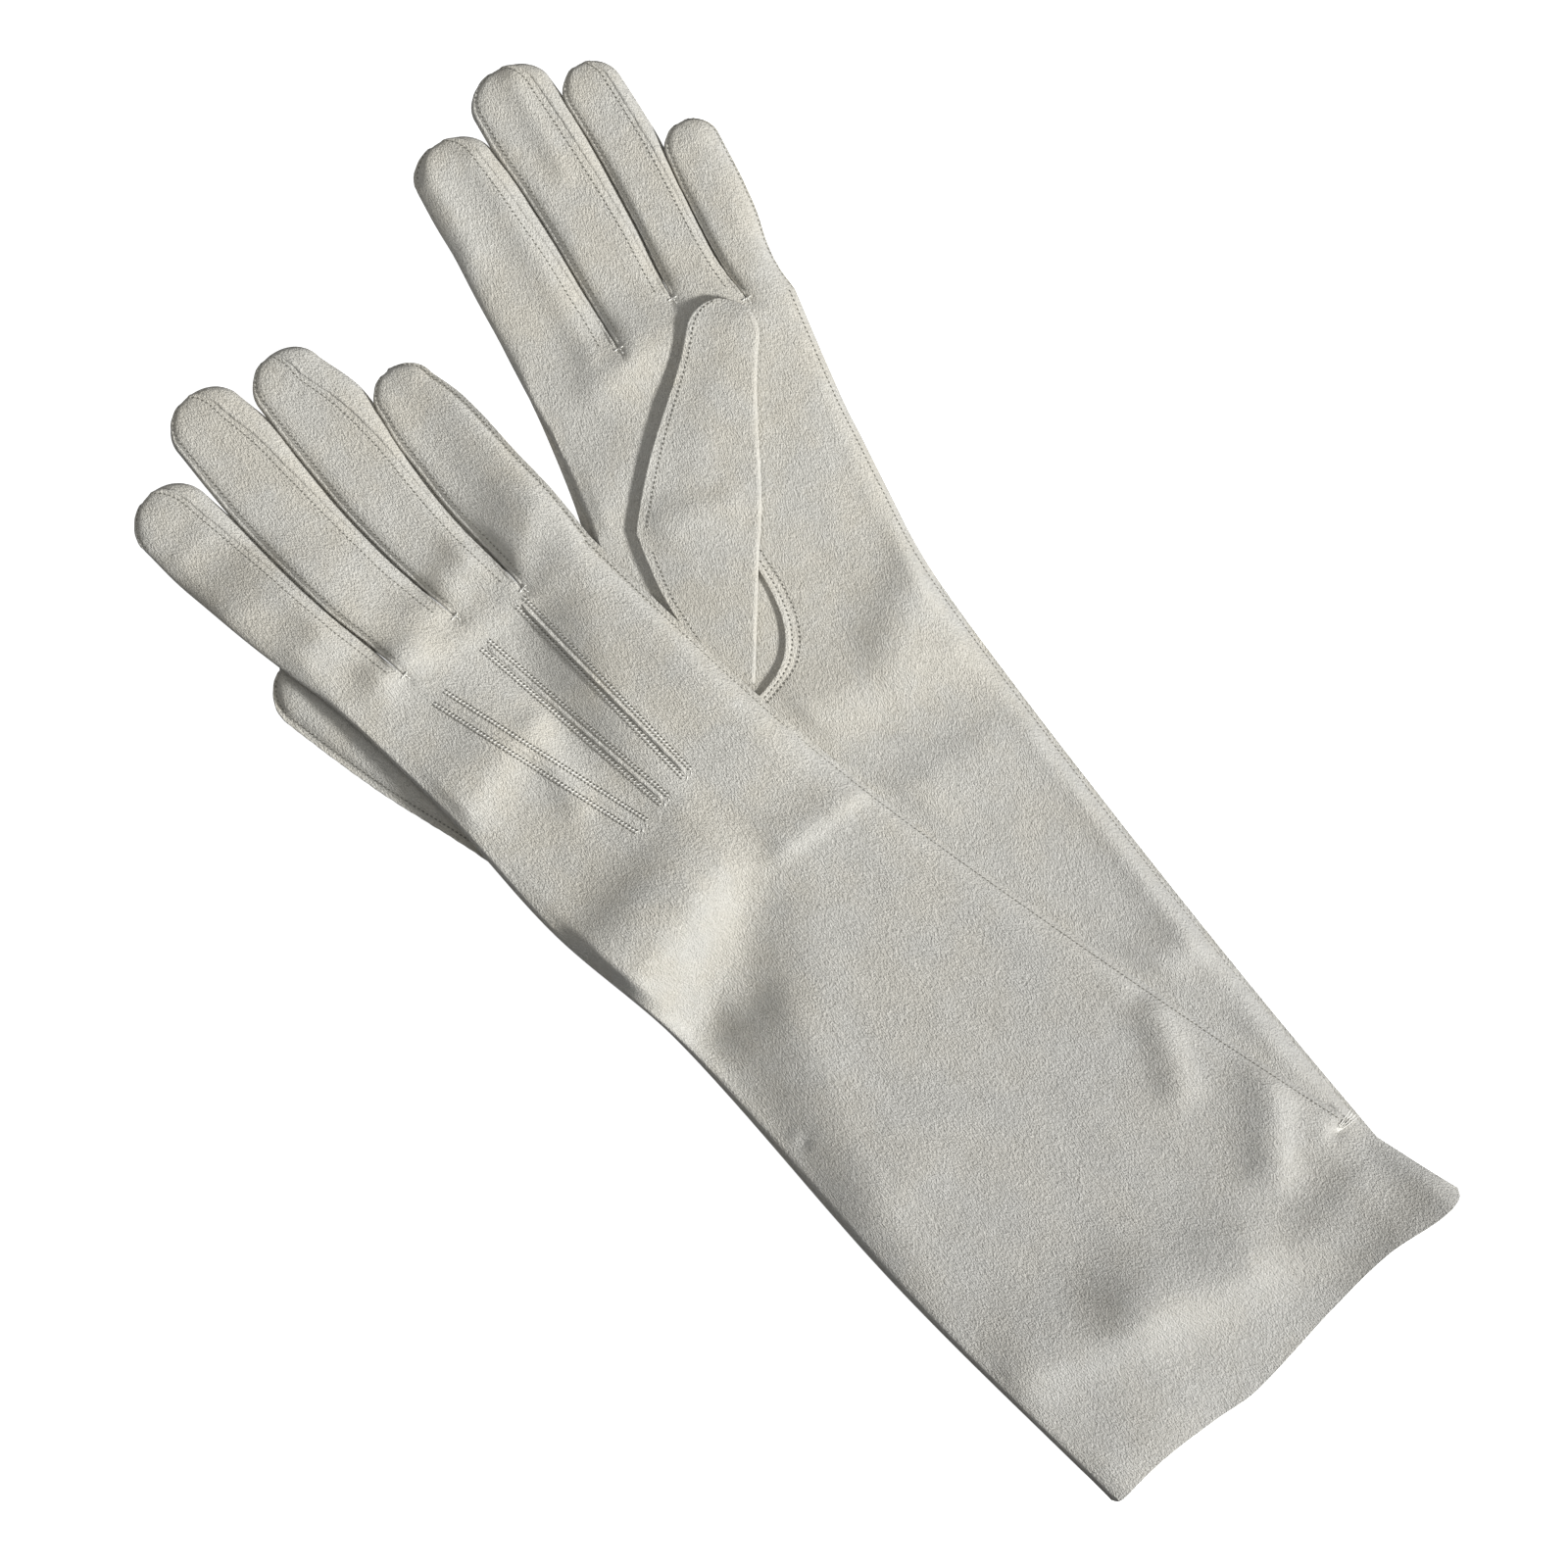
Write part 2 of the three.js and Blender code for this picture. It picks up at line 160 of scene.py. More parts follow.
# Each fold: from x, y to x, y, its height, and how far it falls away on its left and right side.
RIGHT_FOLDS = [
    (-46, 194, -16, 196, 6.0, 24, 10.5),
    (-44, 205, -12, 206, 0.6, 9, 8),
    (-42, 216, -8, 214, -0.8, 9, 8),
    (-49, 180, -35, 171, -2.5, 8, 10),
    (-17, 168, -4, 181, -2.3, 8, 10),
    (-30, 257, -10, 258, 2.4, 14, 7),
    (-12, 234, -4, 256, 1.2, 4, 4),
    (-20, 295, -8, 293, 1.8, 5, 5),
    (3, 297, 18, 299, 1.7, 6, 5.5),
    (-12, 298, -4, 299, 0.7, 6, 5),
    (25, 288, 34, 292, 2.0, 13, 5.5),
    (0, 287, 28, 278, 0.8, 7, 4),
    (-34, 313, -21, 314, 1.6, 7, 8),
    (-34, 355, -22, 355, 0.7, 4, 6),
    (20, 236, 40, 232, 1.2, 24, 20),
    (16, 185, 42, 179, 1.4, 8, 2.6),
    (46, 160, 46, 95, 0.8, 3, 5),
    (45, 82, 34, 66, 1.8, 5, 6),
    (54, 51, 34, 33, 2.4, 5, 8),
    (44, 13, 26, 13, 1.4, 9, 7),
    (42, -12, 64, -16, 7.5, 19, 19),
    (-46, 47, -18, 34, 2.4, 15, 8),
    (-18, 34, 8, 22, 3.0, 15, 8),
    (-40, 108, -26, 106, 0.7, 12, 9),
    (-58, 14, -40, 10, 1.0, 10, 14),
    (57, 21, 68, 18, -2.8, 4, 13),
    (51, 26.5, 52.5, 26, -1.8, 1.7, 1.7),
    (-42, 131, -41, 131, -0.5, 1.3, 1.3),
    (-42, 134, -41, 134, 0.4, 1.3, 1.3),
]
LEFT_FOLDS = [
    (-39, 375, -41, 345, 1.0, 7, 3),
    (-23, 365, -24, 305, 0.8, 3, 4),
    (-5, 378, -6, 350, 0.7, 3, 3),
    (-14, 298, -2, 300, 0.9, 12, 6),
    (-26, 297, -16, 299, 0.9, 6, 5),
    (8, 200, 26, 214, 1.9, 9, 9),
    (-20, 194, 18, 190, 1.2, 8, 8),
    (-12, 163, 16, 164, 0.8, 6, 12),
    (31, 160, 37, 95, 1.0, 3, 6),
    (18, 92, 40, 90, 1.0, 8, 5),
    (38, 60, 46, 55, 0.8, 8, 6),
    (-42, 268, -26, 276, 0.8, 9, 8),
]


# How far each finger's two sides stand out past a straight line, from its root to its round tip.
SIDE_STATIONS = [0, 0.15, 0.3, 0.5, 0.7, 0.85, 1]
LEFT_SIDES = [
    ([0, 0, -0.1, 0.1, 0, 0.5, 0.6], [0, 0.9, 1.5, 2.7, 3.3, 3.7, 3.2]),
    ([0, 0.4, 0.7, 1.0, 1.9, 3.0, 3.2], [0, 0.5, 1.5, 2.1, 2.6, 2.6, 1.8]),
    ([0, -0.4, -0.9, -1.1, -1.1, -0.8, -0.2], [0, -1.3, -1.4, -0.7, 0.2, 0, -0.6]),
    ([0, 1.0, 1.4, 1.4, 1.1, 0.8, 0.2], [0, -1.1, -1.0, 0.4, 0.9, 0.9, 0.8]),
]
RIGHT_SIDES = [
    ([0, 0, 0.7, 1.3, 1.4, 1.4, 0.4], [0, -0.7, -1.1, -1.1, -0.3, 0.4, 0.6]),
    ([0, 1.2, 2.8, 3.5, 3.6, 2.8, 1.5], [0, -1.2, -1.6, -1.1, 0.7, 2.3, 1.4]),
    ([0, 1.5, 2.7, 3.5, 3.3, 2.8, 1.8], [0, -0.5, -1.1, -0.2, 2.6, 3.5, 0.8]),
    ([0, 0.8, 1.9, 3.1, 3.3, 3.4, 2.2], [0, 0.9, 1.4, 1.4, 1.8, 1.5, -0.2]),
]


# How far the index finger's side and the little finger's side lie inside the pattern's outline.
TAKEN_IN = {
    "left": (
        ([0, 240, 262, 282, 290], [0, 0, 1.2, 2.0, 2.0]),
        ([0, 60, 170, 200, 225, 242, 256, 290], [1.0, 1.6, 1.5, 0.5, -0.2, 0.6, 1.4, 0.8]),
    ),
    "right": (([0, 290], [0, 0]), ([0, 290], [0, 0])),
}


class Glove:
    """One glove's pattern and the way it lies. x runs to the little finger, y to the fingertips."""

    def __init__(self, name, cuff, turn, spine, cuff_line, forks, tips, radii, sides, points, folds):
        self.name = name
        self.hand = f"{name}_hand"
        self.cuff = cuff
        self.turn = math.radians(turn)
        self.spine = spine
        self.cuff_line = cuff_line
        self.forks = forks
        self.tips = tips
        self.radii = radii
        self.sides = sides
        self.points = points
        self.folds = folds
        self.taken_in = TAKEN_IN[name]
        self.fold_strength = 1.5 if name == "left" else 1.2
        self.seam_side = (0.5, 6) if name == "left" else (1.6, 9)
        self.fingers = []

    def edges(self, y):
        """The outline's x on the index finger's side and on the little finger's side."""
        half = through(STATIONS, WIDTHS, y) / 2
        middle = through(STATIONS, self.spine, y)
        inward_low, inward_high = self.taken_in
        low = middle - half + through(inward_low[0], inward_low[1], y)
        return low, middle + half - through(inward_high[0], inward_high[1], y)

    def fork_edge(self, x):
        """The line where the fingers begin."""
        low, high = self.edges(FORK_LINE)
        at = [lerp(low, high, share) for share, _ in self.forks]
        return through(at, [FORK_LINE + past for _, past in self.forks], x)

    def cuff_edge(self, x):
        """The cut edge of the cuff, rounded at both corners."""
        low, high = self.edges(0)
        share = [s for s, _ in self.cuff_line]
        corner = 2.2 * (1 - arc((x - low) / 2.6)) + 2.2 * (1 - arc((high - x) / 2.6))
        return through(share, [past for _, past in self.cuff_line], (x - low) / (high - low)) + corner

    def world(self, x, y, z):
        """From the glove's own millimetres to metres in the frame."""
        c, s = math.cos(self.turn), math.sin(self.turn)
        x, y, z = np.broadcast_arrays(np.asarray(x, float), y, z)
        wx = self.cuff[0] + y * c + x * s
        wy = self.cuff[1] + y * s - x * c
        return np.stack([wx, wy, z], axis=-1) * MM

    def plan(self, wx, wy):
        """From millimetres in the frame to the glove's own x and y."""
        c, s = math.cos(self.turn), math.sin(self.turn)
        dx, dy = wx - self.cuff[0], wy - self.cuff[1]
        return dx * s - dy * c, dx * c + dy * s

    def lift(self, x, y):
        """How high the underside lies."""
        if self.name == "left":
            return left_relief(x, y, 0)
        return np.hypot(over_thumb(x, y), over_left_glove(x, y))

    def relief(self, x, y):
        """The folds that the cloth has taken."""
        total = 0 * x
        for fold in self.folds:
            total = total + self.fold_strength * swell(x, y, fold)
        total = total + 0.14 * np.sin(x / 5.3 + 1.1 * np.sin(y / 17)) * np.sin(y / 9.1 + x / 31)
        total = total + 0.1 * np.sin(x / 2.9 + y / 13) * np.sin(y / 6.7 - x / 11)
        if self.name == "left":
            total = total * (1 - under_right_glove(self.world(x, y, 0) / MM))
        return total

    def height(self, y):
        """The flattened height, lower at the open cuff."""
        body = lerp(shape().arm_height, shape().finger_height, smooth(y, ARM_LENGTH, FORK_LINE))
        return body / MM * lerp(0.62, 1, smooth(y, -8, 26))

    def top(self, x, y):
        """The upper side of the hand and arm."""
        low, high = self.edges(np.minimum(y, FORK_LINE))
        height = self.height(y)
        seam = shape().seam_height / MM
        from_fold = np.maximum(x - low, 0)
        from_seam = np.maximum(high - x, 0)
        fold = 0.5 + 0.5 * arc(from_fold / (FOLD_ROUND * height / 2))
        lip, rise_over = self.seam_side
        close = seam / height + (1 - seam / height) * arc((from_seam - lip) / rise_over)
        z = height * fold * close
        near = smooth(y, self.fork_edge(x) - 4.5, self.fork_edge(x))
        fork_low, fork_high = self.edges(FORK_LINE)
        for share, _ in self.forks[1:-1]:
            away = np.abs(x - lerp(fork_low, fork_high, share))
            z = z * lerp(1, 1 - FORK_DIP * (1 - arc(away / height)), near)
        z = z + self.relief(x, y) * smooth(from_fold, 0, EDGE_FADE) * smooth(from_seam, 0, EDGE_FADE)
        return np.maximum(z, seam) + self.lift(x, y)

    def on_top(self, x, y, above=0.0):
        return self.world(x, y, self.top(x, y) + above)


def left_relief(x, y, further):
    """How high the left hand stands up in its middle, spread a little further where that is asked."""
    across = 1 - smooth(np.abs(x + 5), 12 + 2 * further, 46 + further)
    start = ARM_LENGTH - further
    end = FORK_LINE + further
    return PALM_RISE * across * smooth(y, start - 10, start + 15) * (1 - smooth(y, end, end + 25))


THUMB_PIVOT = (-27, 240)
THUMB_TIP = (-34, 317)
ROOT_RADIUS = 10.5  # of the right thumb, at its two round ends
TIP_RADIUS = 9.5


def over_thumb(x, y):
    """How far the right palm is lifted by the thumb under it."""
    t = np.clip((y - THUMB_PIVOT[1]) / (THUMB_TIP[1] - THUMB_PIVOT[1]), -0.45, 1)
    axis_x = lerp(THUMB_PIVOT[0], THUMB_TIP[0], t)
    axis_y = lerp(THUMB_PIVOT[1], THUMB_TIP[1], t)
    away = np.hypot(np.maximum(x - axis_x, 0), y - axis_y)
    return (shape().thumb_height / MM + REST_GAP) * (1 - smooth(away, 15.5, 37.5))


def over_left_glove(x, y):
    """How far the right glove is lifted by the left one under it."""
    there = right.world(x, y, 0) / MM
    px, py = left.plan(there[..., 0], there[..., 1])
    low, high = left.edges(np.minimum(py, FORK_LINE))
    inside = np.minimum(px - low, high - px)
    height = shape().arm_height / MM + REST_GAP + left_relief(px, py, 8)
    return height * smooth(inside, -30, -4)


def under_right_glove(there):
    """1 where the right glove covers the place, 0 away from it."""
    px, py = right.plan(there[..., 0], there[..., 1])
    low, high = right.edges(np.minimum(py, FORK_LINE))
    return smooth(np.minimum(px - low, high - px), -6, 0)


left = Glove(
    "left",
    (117.8, -139.9),
    120,
    [-4, -9.1, -11.4, -15.6, -9.8, -6.5],
    [(0, 12), (0.35, 9.5), (0.7, 8), (1, 6)],
    [(0, 12), (0.36, 12.5), (0.61, 17), (0.835, 7.3), (1, 3)],
    [-32.0, -7.2, 11.9, 27.1],
    [9.3, 8.6, 8.3, 7.0],
    LEFT_SIDES,
    [(-23.5, -17), (-3, -3), (14, 9)],
    LEFT_FOLDS,
)
right = Glove(
    "right",
    (127.9, -148.4),
    139.8,
    [0, -2, 0, -0.5, 3, 5.2],
    [(0, 7), (0.14, 5.5), (0.28, 1.7), (0.38, -1.5), (0.64, -3), (0.8, -4.5), (0.92, -8.6), (1, -10)],
    [(0, 2), (0.24, 1), (0.5, 1), (0.72, -8), (1, -13)],
    [-23.8, 2.0, 24.6, 42.8],
    [10.3, 9.3, 8.8, 7.7],
    RIGHT_SIDES,
    [(-13.6, -5), (4.7, 4), (19.3, 13.1)],
    RIGHT_FOLDS,
)
GLOVES = [left, right]


# How far the seam on the little finger's side lies from that side, along each finger.
LITTLE_SEAM = [0, 0, 0, 0, 0]
SEAM_INSETS = {
    "left": [[0.7, 1.3, 1.7, 2.2, 2.6], [0.7, 1.4, 1.8, 2.3, 2.8], [0.7, 1.3, 1.7, 2.2, 2.6], LITTLE_SEAM],
    "right": [[0.4, 0.6, 1.0, 2.0, 4.0], [0.4, 0.7, 1.4, 2.6, 5.0], [0.4, 0.7, 1.2, 2.8, 6.0], LITTLE_SEAM],
}


class Finger:
    """A finger's round of cloth. v runs from root to tip. p runs round it: 0 is its index finger side,
    0 to 1 goes over the top to its little finger side, and 0 to -1 goes underneath to the same side."""

    def __init__(self, glove, i):
        low, high = (float(e) for e in glove.edges(FORK_LINE))
        self.glove = glove
        self.i = i
        self.is_index = i == 0
        self.is_little = i == 3
        self.name = f"{glove.name}_{FINGERS[i]}"
        self.a = lerp(low, high, glove.forks[i][0])
        self.b = lerp(low, high, glove.forks[i + 1][0])
        self.radius = glove.radii[i]
        self.seam_inset = SEAM_INSETS[glove.name][i]
        self.tip = (glove.tips[i], FORK_LINE + REACH[i] - self.radius)
        middle = (self.a + self.b) / 2
        ahead = Vector((self.tip[0] - middle, self.tip[1] - float(glove.fork_edge(middle))))
        self.length = ahead.length + self.radius
        self.ahead = ahead.normalized()
        self.aside = Vector((self.ahead.y, -self.ahead.x))

    def place(self, v, p):
        """The outside of the cloth, as an array of points in metres."""
        glove = self.glove
        v, p = np.broadcast_arrays(np.asarray(v, float), np.asarray(p, float))
        s = -np.cos(np.pi * p)
        k = np.clip(v / STRAIGHT, 0, 1)
        turn = np.clip((v - STRAIGHT) / (1 - STRAIGHT), 0, 1) * np.pi / 2
        root_x = lerp(self.a, self.b, (s + 1) / 2)
        root_y = glove.fork_edge(root_x)
        end_x = self.tip[0] + s * self.radius * self.aside.x
        end_y = self.tip[1] + s * self.radius * self.aside.y
        out_left = through(SIDE_STATIONS, glove.sides[self.i][0], k)
        out_right = through(SIDE_STATIONS, glove.sides[self.i][1], k)
        shift = (out_right - out_left) / 2
        wider = (out_right + out_left) / 2
        across = s * wider + shift + s * (self.radius + wider) * (np.cos(turn) - 1)
        on = self.radius * np.sin(turn)
        root = glove.height(FORK_LINE)
        height = root * lerp(1, TIP_HEIGHT, smooth(k, 0.3, 1))
        half = lerp((self.b - self.a) / 2, self.radius, k) + wider
        opened = smooth(k, 0, 0.3)
        near = lerp(root, SIDE_ROUND * half, opened)
        near_fold = lerp(FOLD_ROUND * root / 2, SIDE_ROUND * half, opened) if self.is_index else near
        seam = shape().seam_height / MM
        full = np.maximum(np.cos(turn), 0) ** 0.6
        from_left = (1 + s) * half
        from_right = (1 - s) * half
        waist = 0.5 - 0.26 * smooth(k, 0, 0.15) * (1 - smooth(k, 0.55, 1))
        dip = lerp(FORK_DIP, 1 - waist, smooth(k, 0, 0.1))
        left_dip = 0.5 if self.is_index else dip
        left_side = 1 - left_dip * (1 - arc(from_left / near_fold))
        if self.is_little:
            lip, rise_over = glove.seam_side
            close = lerp(rise_over, 0.8 * half, opened)
            e = lerp(height / 2, seam, full) / height
            right_side = e + (1 - e) * arc((from_right - lip * full) / close)
        else:
            right_side = 1 - dip * (1 - arc(from_right / near))
        over = height * left_side * right_side
        under_left = arc(from_left / lerp(FOLD_ROUND * root / 2, UNDER_ROUND * half, opened))
        under_right = arc(from_right / lerp(root / 2, UNDER_ROUND * half, opened))
        if self.is_little:
            under_right = under_right * (1 - full) + full
        left_waist = 0.5 if self.is_index else waist
        right_waist = 0.5 if self.is_little else waist
        side_height = height * lerp(left_waist, right_waist, (1 + s) / 2)
        under = side_height * (1 - under_left * under_right)
        upper = np.sin(np.pi * p) >= 0
        flare = FLARE * smooth(k, 0.02, 0.2) * full * (1 - under / side_height) * s
        if self.is_index:
            flare = np.maximum(flare, 0)
        if self.is_little:
            flare = np.minimum(flare, 0)
        across = across + np.where(upper, 0, flare)
        x = lerp(root_x, end_x, k) + across * self.aside.x + on * self.ahead.x
        y = lerp(root_y, end_y, k) + across * self.aside.y + on * self.ahead.y
        z = np.where(upper, over, under)
        z = height / 2 + (z - height / 2) * full
        at_root = 1.0
        if self.is_index:
            at_root = smooth(from_left, 0, EDGE_FADE)
        if self.is_little:
            at_root = smooth(from_right, 0, EDGE_FADE)
        fade = lerp(at_root, smooth(from_left, 0.5, 6) * smooth(from_right, 0.5, 6), opened)
        rise = glove.relief(x, y) * fade * full
        z = z + np.where(upper, rise, 0) + glove.lift(x, y)
        return glove.world(x, y, z)

    def upper_seam(self, v):
        """Where the seam on the little finger's side lies round the finger."""
        k = np.clip(v / STRAIGHT, 0, 1)
        inset = through([0, 0.3, 0.5, 0.7, 1], self.seam_inset, k) * lerp(1, 0.8, smooth(v, 0.5, 0.8))
        half = lerp((self.b - self.a) / 2, self.radius, k)
        return np.arccos(-np.clip(1 - inset / half, -1, 1)) / np.pi

    def ride(self, piece):
        """Bakes the piece's place into its mesh. The finger's hinge, its way ahead and its root are looked up
        but not used.
        """
        joint = next(j for j in frame["joints"] if j["name"] == f"{self.name}_bend")
        hinge = Vector(joint["pos_m"])
        ahead = Vector(joint["axis"]).cross(Vector((0, 0, 1)))
        tip = Vector(self.place(1.0, 0.5).tolist())
        if ahead.dot(tip - hinge) < 0:
            ahead = -ahead
        roots = [Vector(q) for q in self.place(0.0, np.linspace(0, 1, 9)).tolist()]
        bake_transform(piece)


LEFT_HINGE = [(-36.7, 257.6), (-10.8, 238.1)]
LEFT_THUMB_REACH = 54.5


class Thumb:
    """A thumb's folded piece. v runs from the root to the tip, q from its lower seam edge (-1) round the
    fold (0) to its upper seam edge (1)."""

    def __init__(self, glove, rows, at_start, at_end, run=1):
        """Its height goes from one share of the thumb's to another over the first part of its rows."""
        self.glove = glove
        self.rows = rows
        self.fullness = (at_start, at_end, run)

    def place(self, v, q, above=0.0):
        v, q = np.broadcast_arrays(np.asarray(v, float), np.asarray(q, float))
        seam_x, seam_y, fold_x, fold_y, full = self.rows(v)
        width = np.maximum(np.hypot(fold_x - seam_x, fold_y - seam_y), 1e-6)
        at_start, at_end, run = self.fullness
        height = shape().thumb_height / MM * lerp(at_start, at_end, smooth(v, 0, run))
        out = np.maximum(np.abs(q) - THUMB_TURN, 0) / (1 - THUMB_TURN)
        radius = np.minimum(height / 2, width / 2)
        angle = np.clip(np.abs(q) / THUMB_TURN, 0, 1) * np.pi / 2
        from_fold = radius * (1 - np.cos(angle)) + out * (width - radius)
        bow = radius * np.sin(angle)
        over = height / 2 + bow
        seam = shape().seam_height / MM
        from_seam = width - from_fold
        if self.glove.name == "left":
            rounding = smooth(from_seam, 1, 13)
        else:
            rounding = arc((from_seam - 1.4) / np.minimum(7, width / 2))
        over = over * (seam / height + (1 - seam / height) * rounding)
        under = height / 2 - bow
        z = np.where(q >= 0, over, under)
        z = height / 2 + (z - height / 2) * full
        x = fold_x + (seam_x - fold_x) * from_fold / width
        y = fold_y + (seam_y - fold_y) * from_fold / width
        rise = 0 * x
        if self.glove.name == "left":
            rise = swell(x, y, (-28, 257, -12, 253, 1.0, 4, 5)) * full
            rise = np.where(q > 0.1, rise, 0) * smooth(from_seam, 0, 5) * smooth(from_fold, 1, 5)
            rise = rise + left.top(x, y) + THUMB_GAP
        return self.glove.world(x, y, z + rise + above)


def left_hinge():
    """The middle of the left thumb's hinge line, its length, and the ways across and ahead."""
    (ax, ay), (bx, by) = LEFT_HINGE
    width = math.hypot(bx - ax, by - ay)
    across = ((bx - ax) / width, (by - ay) / width)
    return ((ax + bx) / 2, (ay + by) / 2), width, across, (-across[1], across[0])


def left_thumb_rows(v):
    """Each row's seam edge and fold, and how full it is."""
    middle, width, across, ahead = left_hinge()
    tip_radius = 9.6
    turn = np.clip((v - THUMB_STRAIGHT) / (1 - THUMB_STRAIGHT), 0, 1) * np.pi / 2
    k = np.clip(v / THUMB_STRAIGHT, 0, 1)
    half = lerp(width / 2, tip_radius, smooth(k, 0, 1)) * np.cos(turn)
    on = LEFT_THUMB_REACH * k + tip_radius * np.sin(turn)
    cx = middle[0] + on * ahead[0]
    cy = middle[1] + on * ahead[1]
    bulge = 0.9 * np.sin(np.pi * k) ** 2
    full = np.maximum(np.cos(turn), 0) ** 0.6
    seam_half = half + bulge
    return (cx - seam_half * across[0], cy - seam_half * across[1],
            cx + half * across[0], cy + half * across[1], full)


def left_root_rows(v):
    (ax, ay), (bx, by) = LEFT_HINGE
    at = [0, 0.3, 0.7, 1]
    seam_x = through(at, [-31.5, -36.5, -38.6, ax], v)
    seam_y = through(at, [209, 219, 239, ay], v)
    return seam_x, seam_y, lerp(-29.4, bx, v), lerp(208, by, v), 1 + 0 * v


def right_thumb_rows(v):
    (px, py), (tx, ty) = THUMB_PIVOT, THUMB_TIP
    along = math.hypot(tx - px, ty - py)
    ahead = ((tx - px) / along, (ty - py) / along)
    aside = (ahead[1], -ahead[0])
    straight_from = 0.25
    back = np.clip((v - straight_from) / straight_from, -1, 0) * np.pi / 2
    front = np.clip((v - THUMB_STRAIGHT) / (1 - THUMB_STRAIGHT), 0, 1) * np.pi / 2
    k = np.clip((v - straight_from) / (THUMB_STRAIGHT - straight_from), 0, 1)
    size = lerp(ROOT_RADIUS, TIP_RADIUS, k)
    half = size * np.cos(back + front)
    on = k * (along - TIP_RADIUS) + size * np.sin(back + front)
    cx, cy = px + on * ahead[0], py + on * ahead[1]
    full = np.maximum(np.cos(back + front), 0) ** 0.6
    out = through([0, 0.3, 0.5, 0.75, 1], [0, 0.6, 2.4, 1.6, 0], v)
    return (cx - (half + out) * aside[0], cy - half * aside[1],
            cx + half * aside[0], cy + half * aside[1], full)


def right_root_rows(v):
    y = lerp(ARM_LENGTH + 14, THUMB_PIVOT[1] - ROOT_RADIUS - 1.8, v)
    half = lerp(3.5, 6.5, v)
    return (THUMB_PIVOT[0] - half, y, THUMB_PIVOT[0] + half, y, 1 + 0 * v)


LOOK_AT = (-4.08, -0.91, 6)  # the point that the camera looks straight down at


# ------------------------------------------------------------------ sizes and colours


class GloveShape(bpy.types.PropertyGroup):
    """Thicknesses and heights of the cloth and its seams."""

    cloth: bpy.props.FloatProperty(
        name="Cloth", description="Thickness of the doubled cloth",
        default=0.0007, min=0.0003, unit="LENGTH",
    )
    arm_height: bpy.props.FloatProperty(
        name="Arm Height", description="Flattened height of the arm",
        default=0.0064, min=0.002, unit="LENGTH",
    )
    finger_height: bpy.props.FloatProperty(
        name="Finger Height", description="Flattened height of a finger",
        default=0.0058, min=0.002, unit="LENGTH",
    )
    thumb_height: bpy.props.FloatProperty(
        name="Thumb Height", description="Flattened height of a thumb",
        default=0.0046, min=0.002, unit="LENGTH",
    )
    seam_height: bpy.props.FloatProperty(
        name="Seam Height", description="Height where two layers are sewn",
        default=0.0018, min=0.001, unit="LENGTH",
    )
    grid: bpy.props.FloatProperty(
        name="Grid", description="Size of the mesh faces on the hand",
        default=0.0014, min=0.0008, unit="LENGTH",
    )


class GloveSewing(bpy.types.PropertyGroup):
    """The rows of thread and the raw edges beside them."""

    pitch: bpy.props.FloatProperty(
        name="Pitch", description="Distance from stitch to stitch",
        default=0.0013, min=0.0008, unit="LENGTH",
    )
    stitch: bpy.props.FloatProperty(
        name="Stitch", description="Length of one stitch", default=0.00085, min=0.0004, unit="LENGTH"
    )
    thread: bpy.props.FloatProperty(
        name="Thread", description="Thickness of the thread", default=0.00036, min=0.0001, unit="LENGTH"
    )
    edge_width: bpy.props.FloatProperty(
        name="Edge Width", description="Width of the raw edge at a seam",
        default=0.0011, min=0.0004, unit="LENGTH",
    )
    edge_height: bpy.props.FloatProperty(
        name="Edge Height", description="How far a raw edge stands up",
        default=0.00042, min=0.0002, unit="LENGTH",
    )
    margin: bpy.props.FloatProperty(
        name="Margin", description="From a raw edge to its row of stitches",
        default=0.0015, min=0.0008, unit="LENGTH",
    )


class GloveFinish(bpy.types.PropertyGroup):
    """Colours and nap of the cloth and the thread."""

    cloth: bpy.props.FloatVectorProperty(
        name="Cloth", description="Colour of the sueded cotton", subtype="COLOR", size=3,
        default=(0.6, 0.585, 0.53), min=0, max=1,
    )
    worn: bpy.props.FloatVectorProperty(
        name="Worn Cloth", description="Colour of its warmer, aged patches", subtype="COLOR", size=3,
        default=(0.61, 0.58, 0.5), min=0, max=1,
    )
    thread: bpy.props.FloatVectorProperty(
        name="Thread", description="Colour of the sewing thread", subtype="COLOR", size=3,
        default=(0.66, 0.645, 0.58), min=0, max=1,
    )
    # Not the cloth's own colour: painted shade, mixed in to darken the cloth towards the cuff.
    arm: bpy.props.FloatVectorProperty(
        name="Arm Cloth", description="Greyer colour of the cloth towards the cuff",
        subtype="COLOR", size=3,
        default=(0.45, 0.445, 0.425), min=0, max=1,
    )
    # A dark thread colour that paints the shade down in the needle holes, not the thread's own colour.
    painted_hole_shade: bpy.props.FloatVectorProperty(
        name="Sunk Thread", description="Colour of the thread down in its needle holes",
        subtype="COLOR", size=3,
        default=(0.19, 0.183, 0.156), min=0, max=1,
    )
    nap: bpy.props.FloatProperty(
        name="Nap", description="Depth of the brushed nap", default=0.0006, min=0, unit="LENGTH"
    )


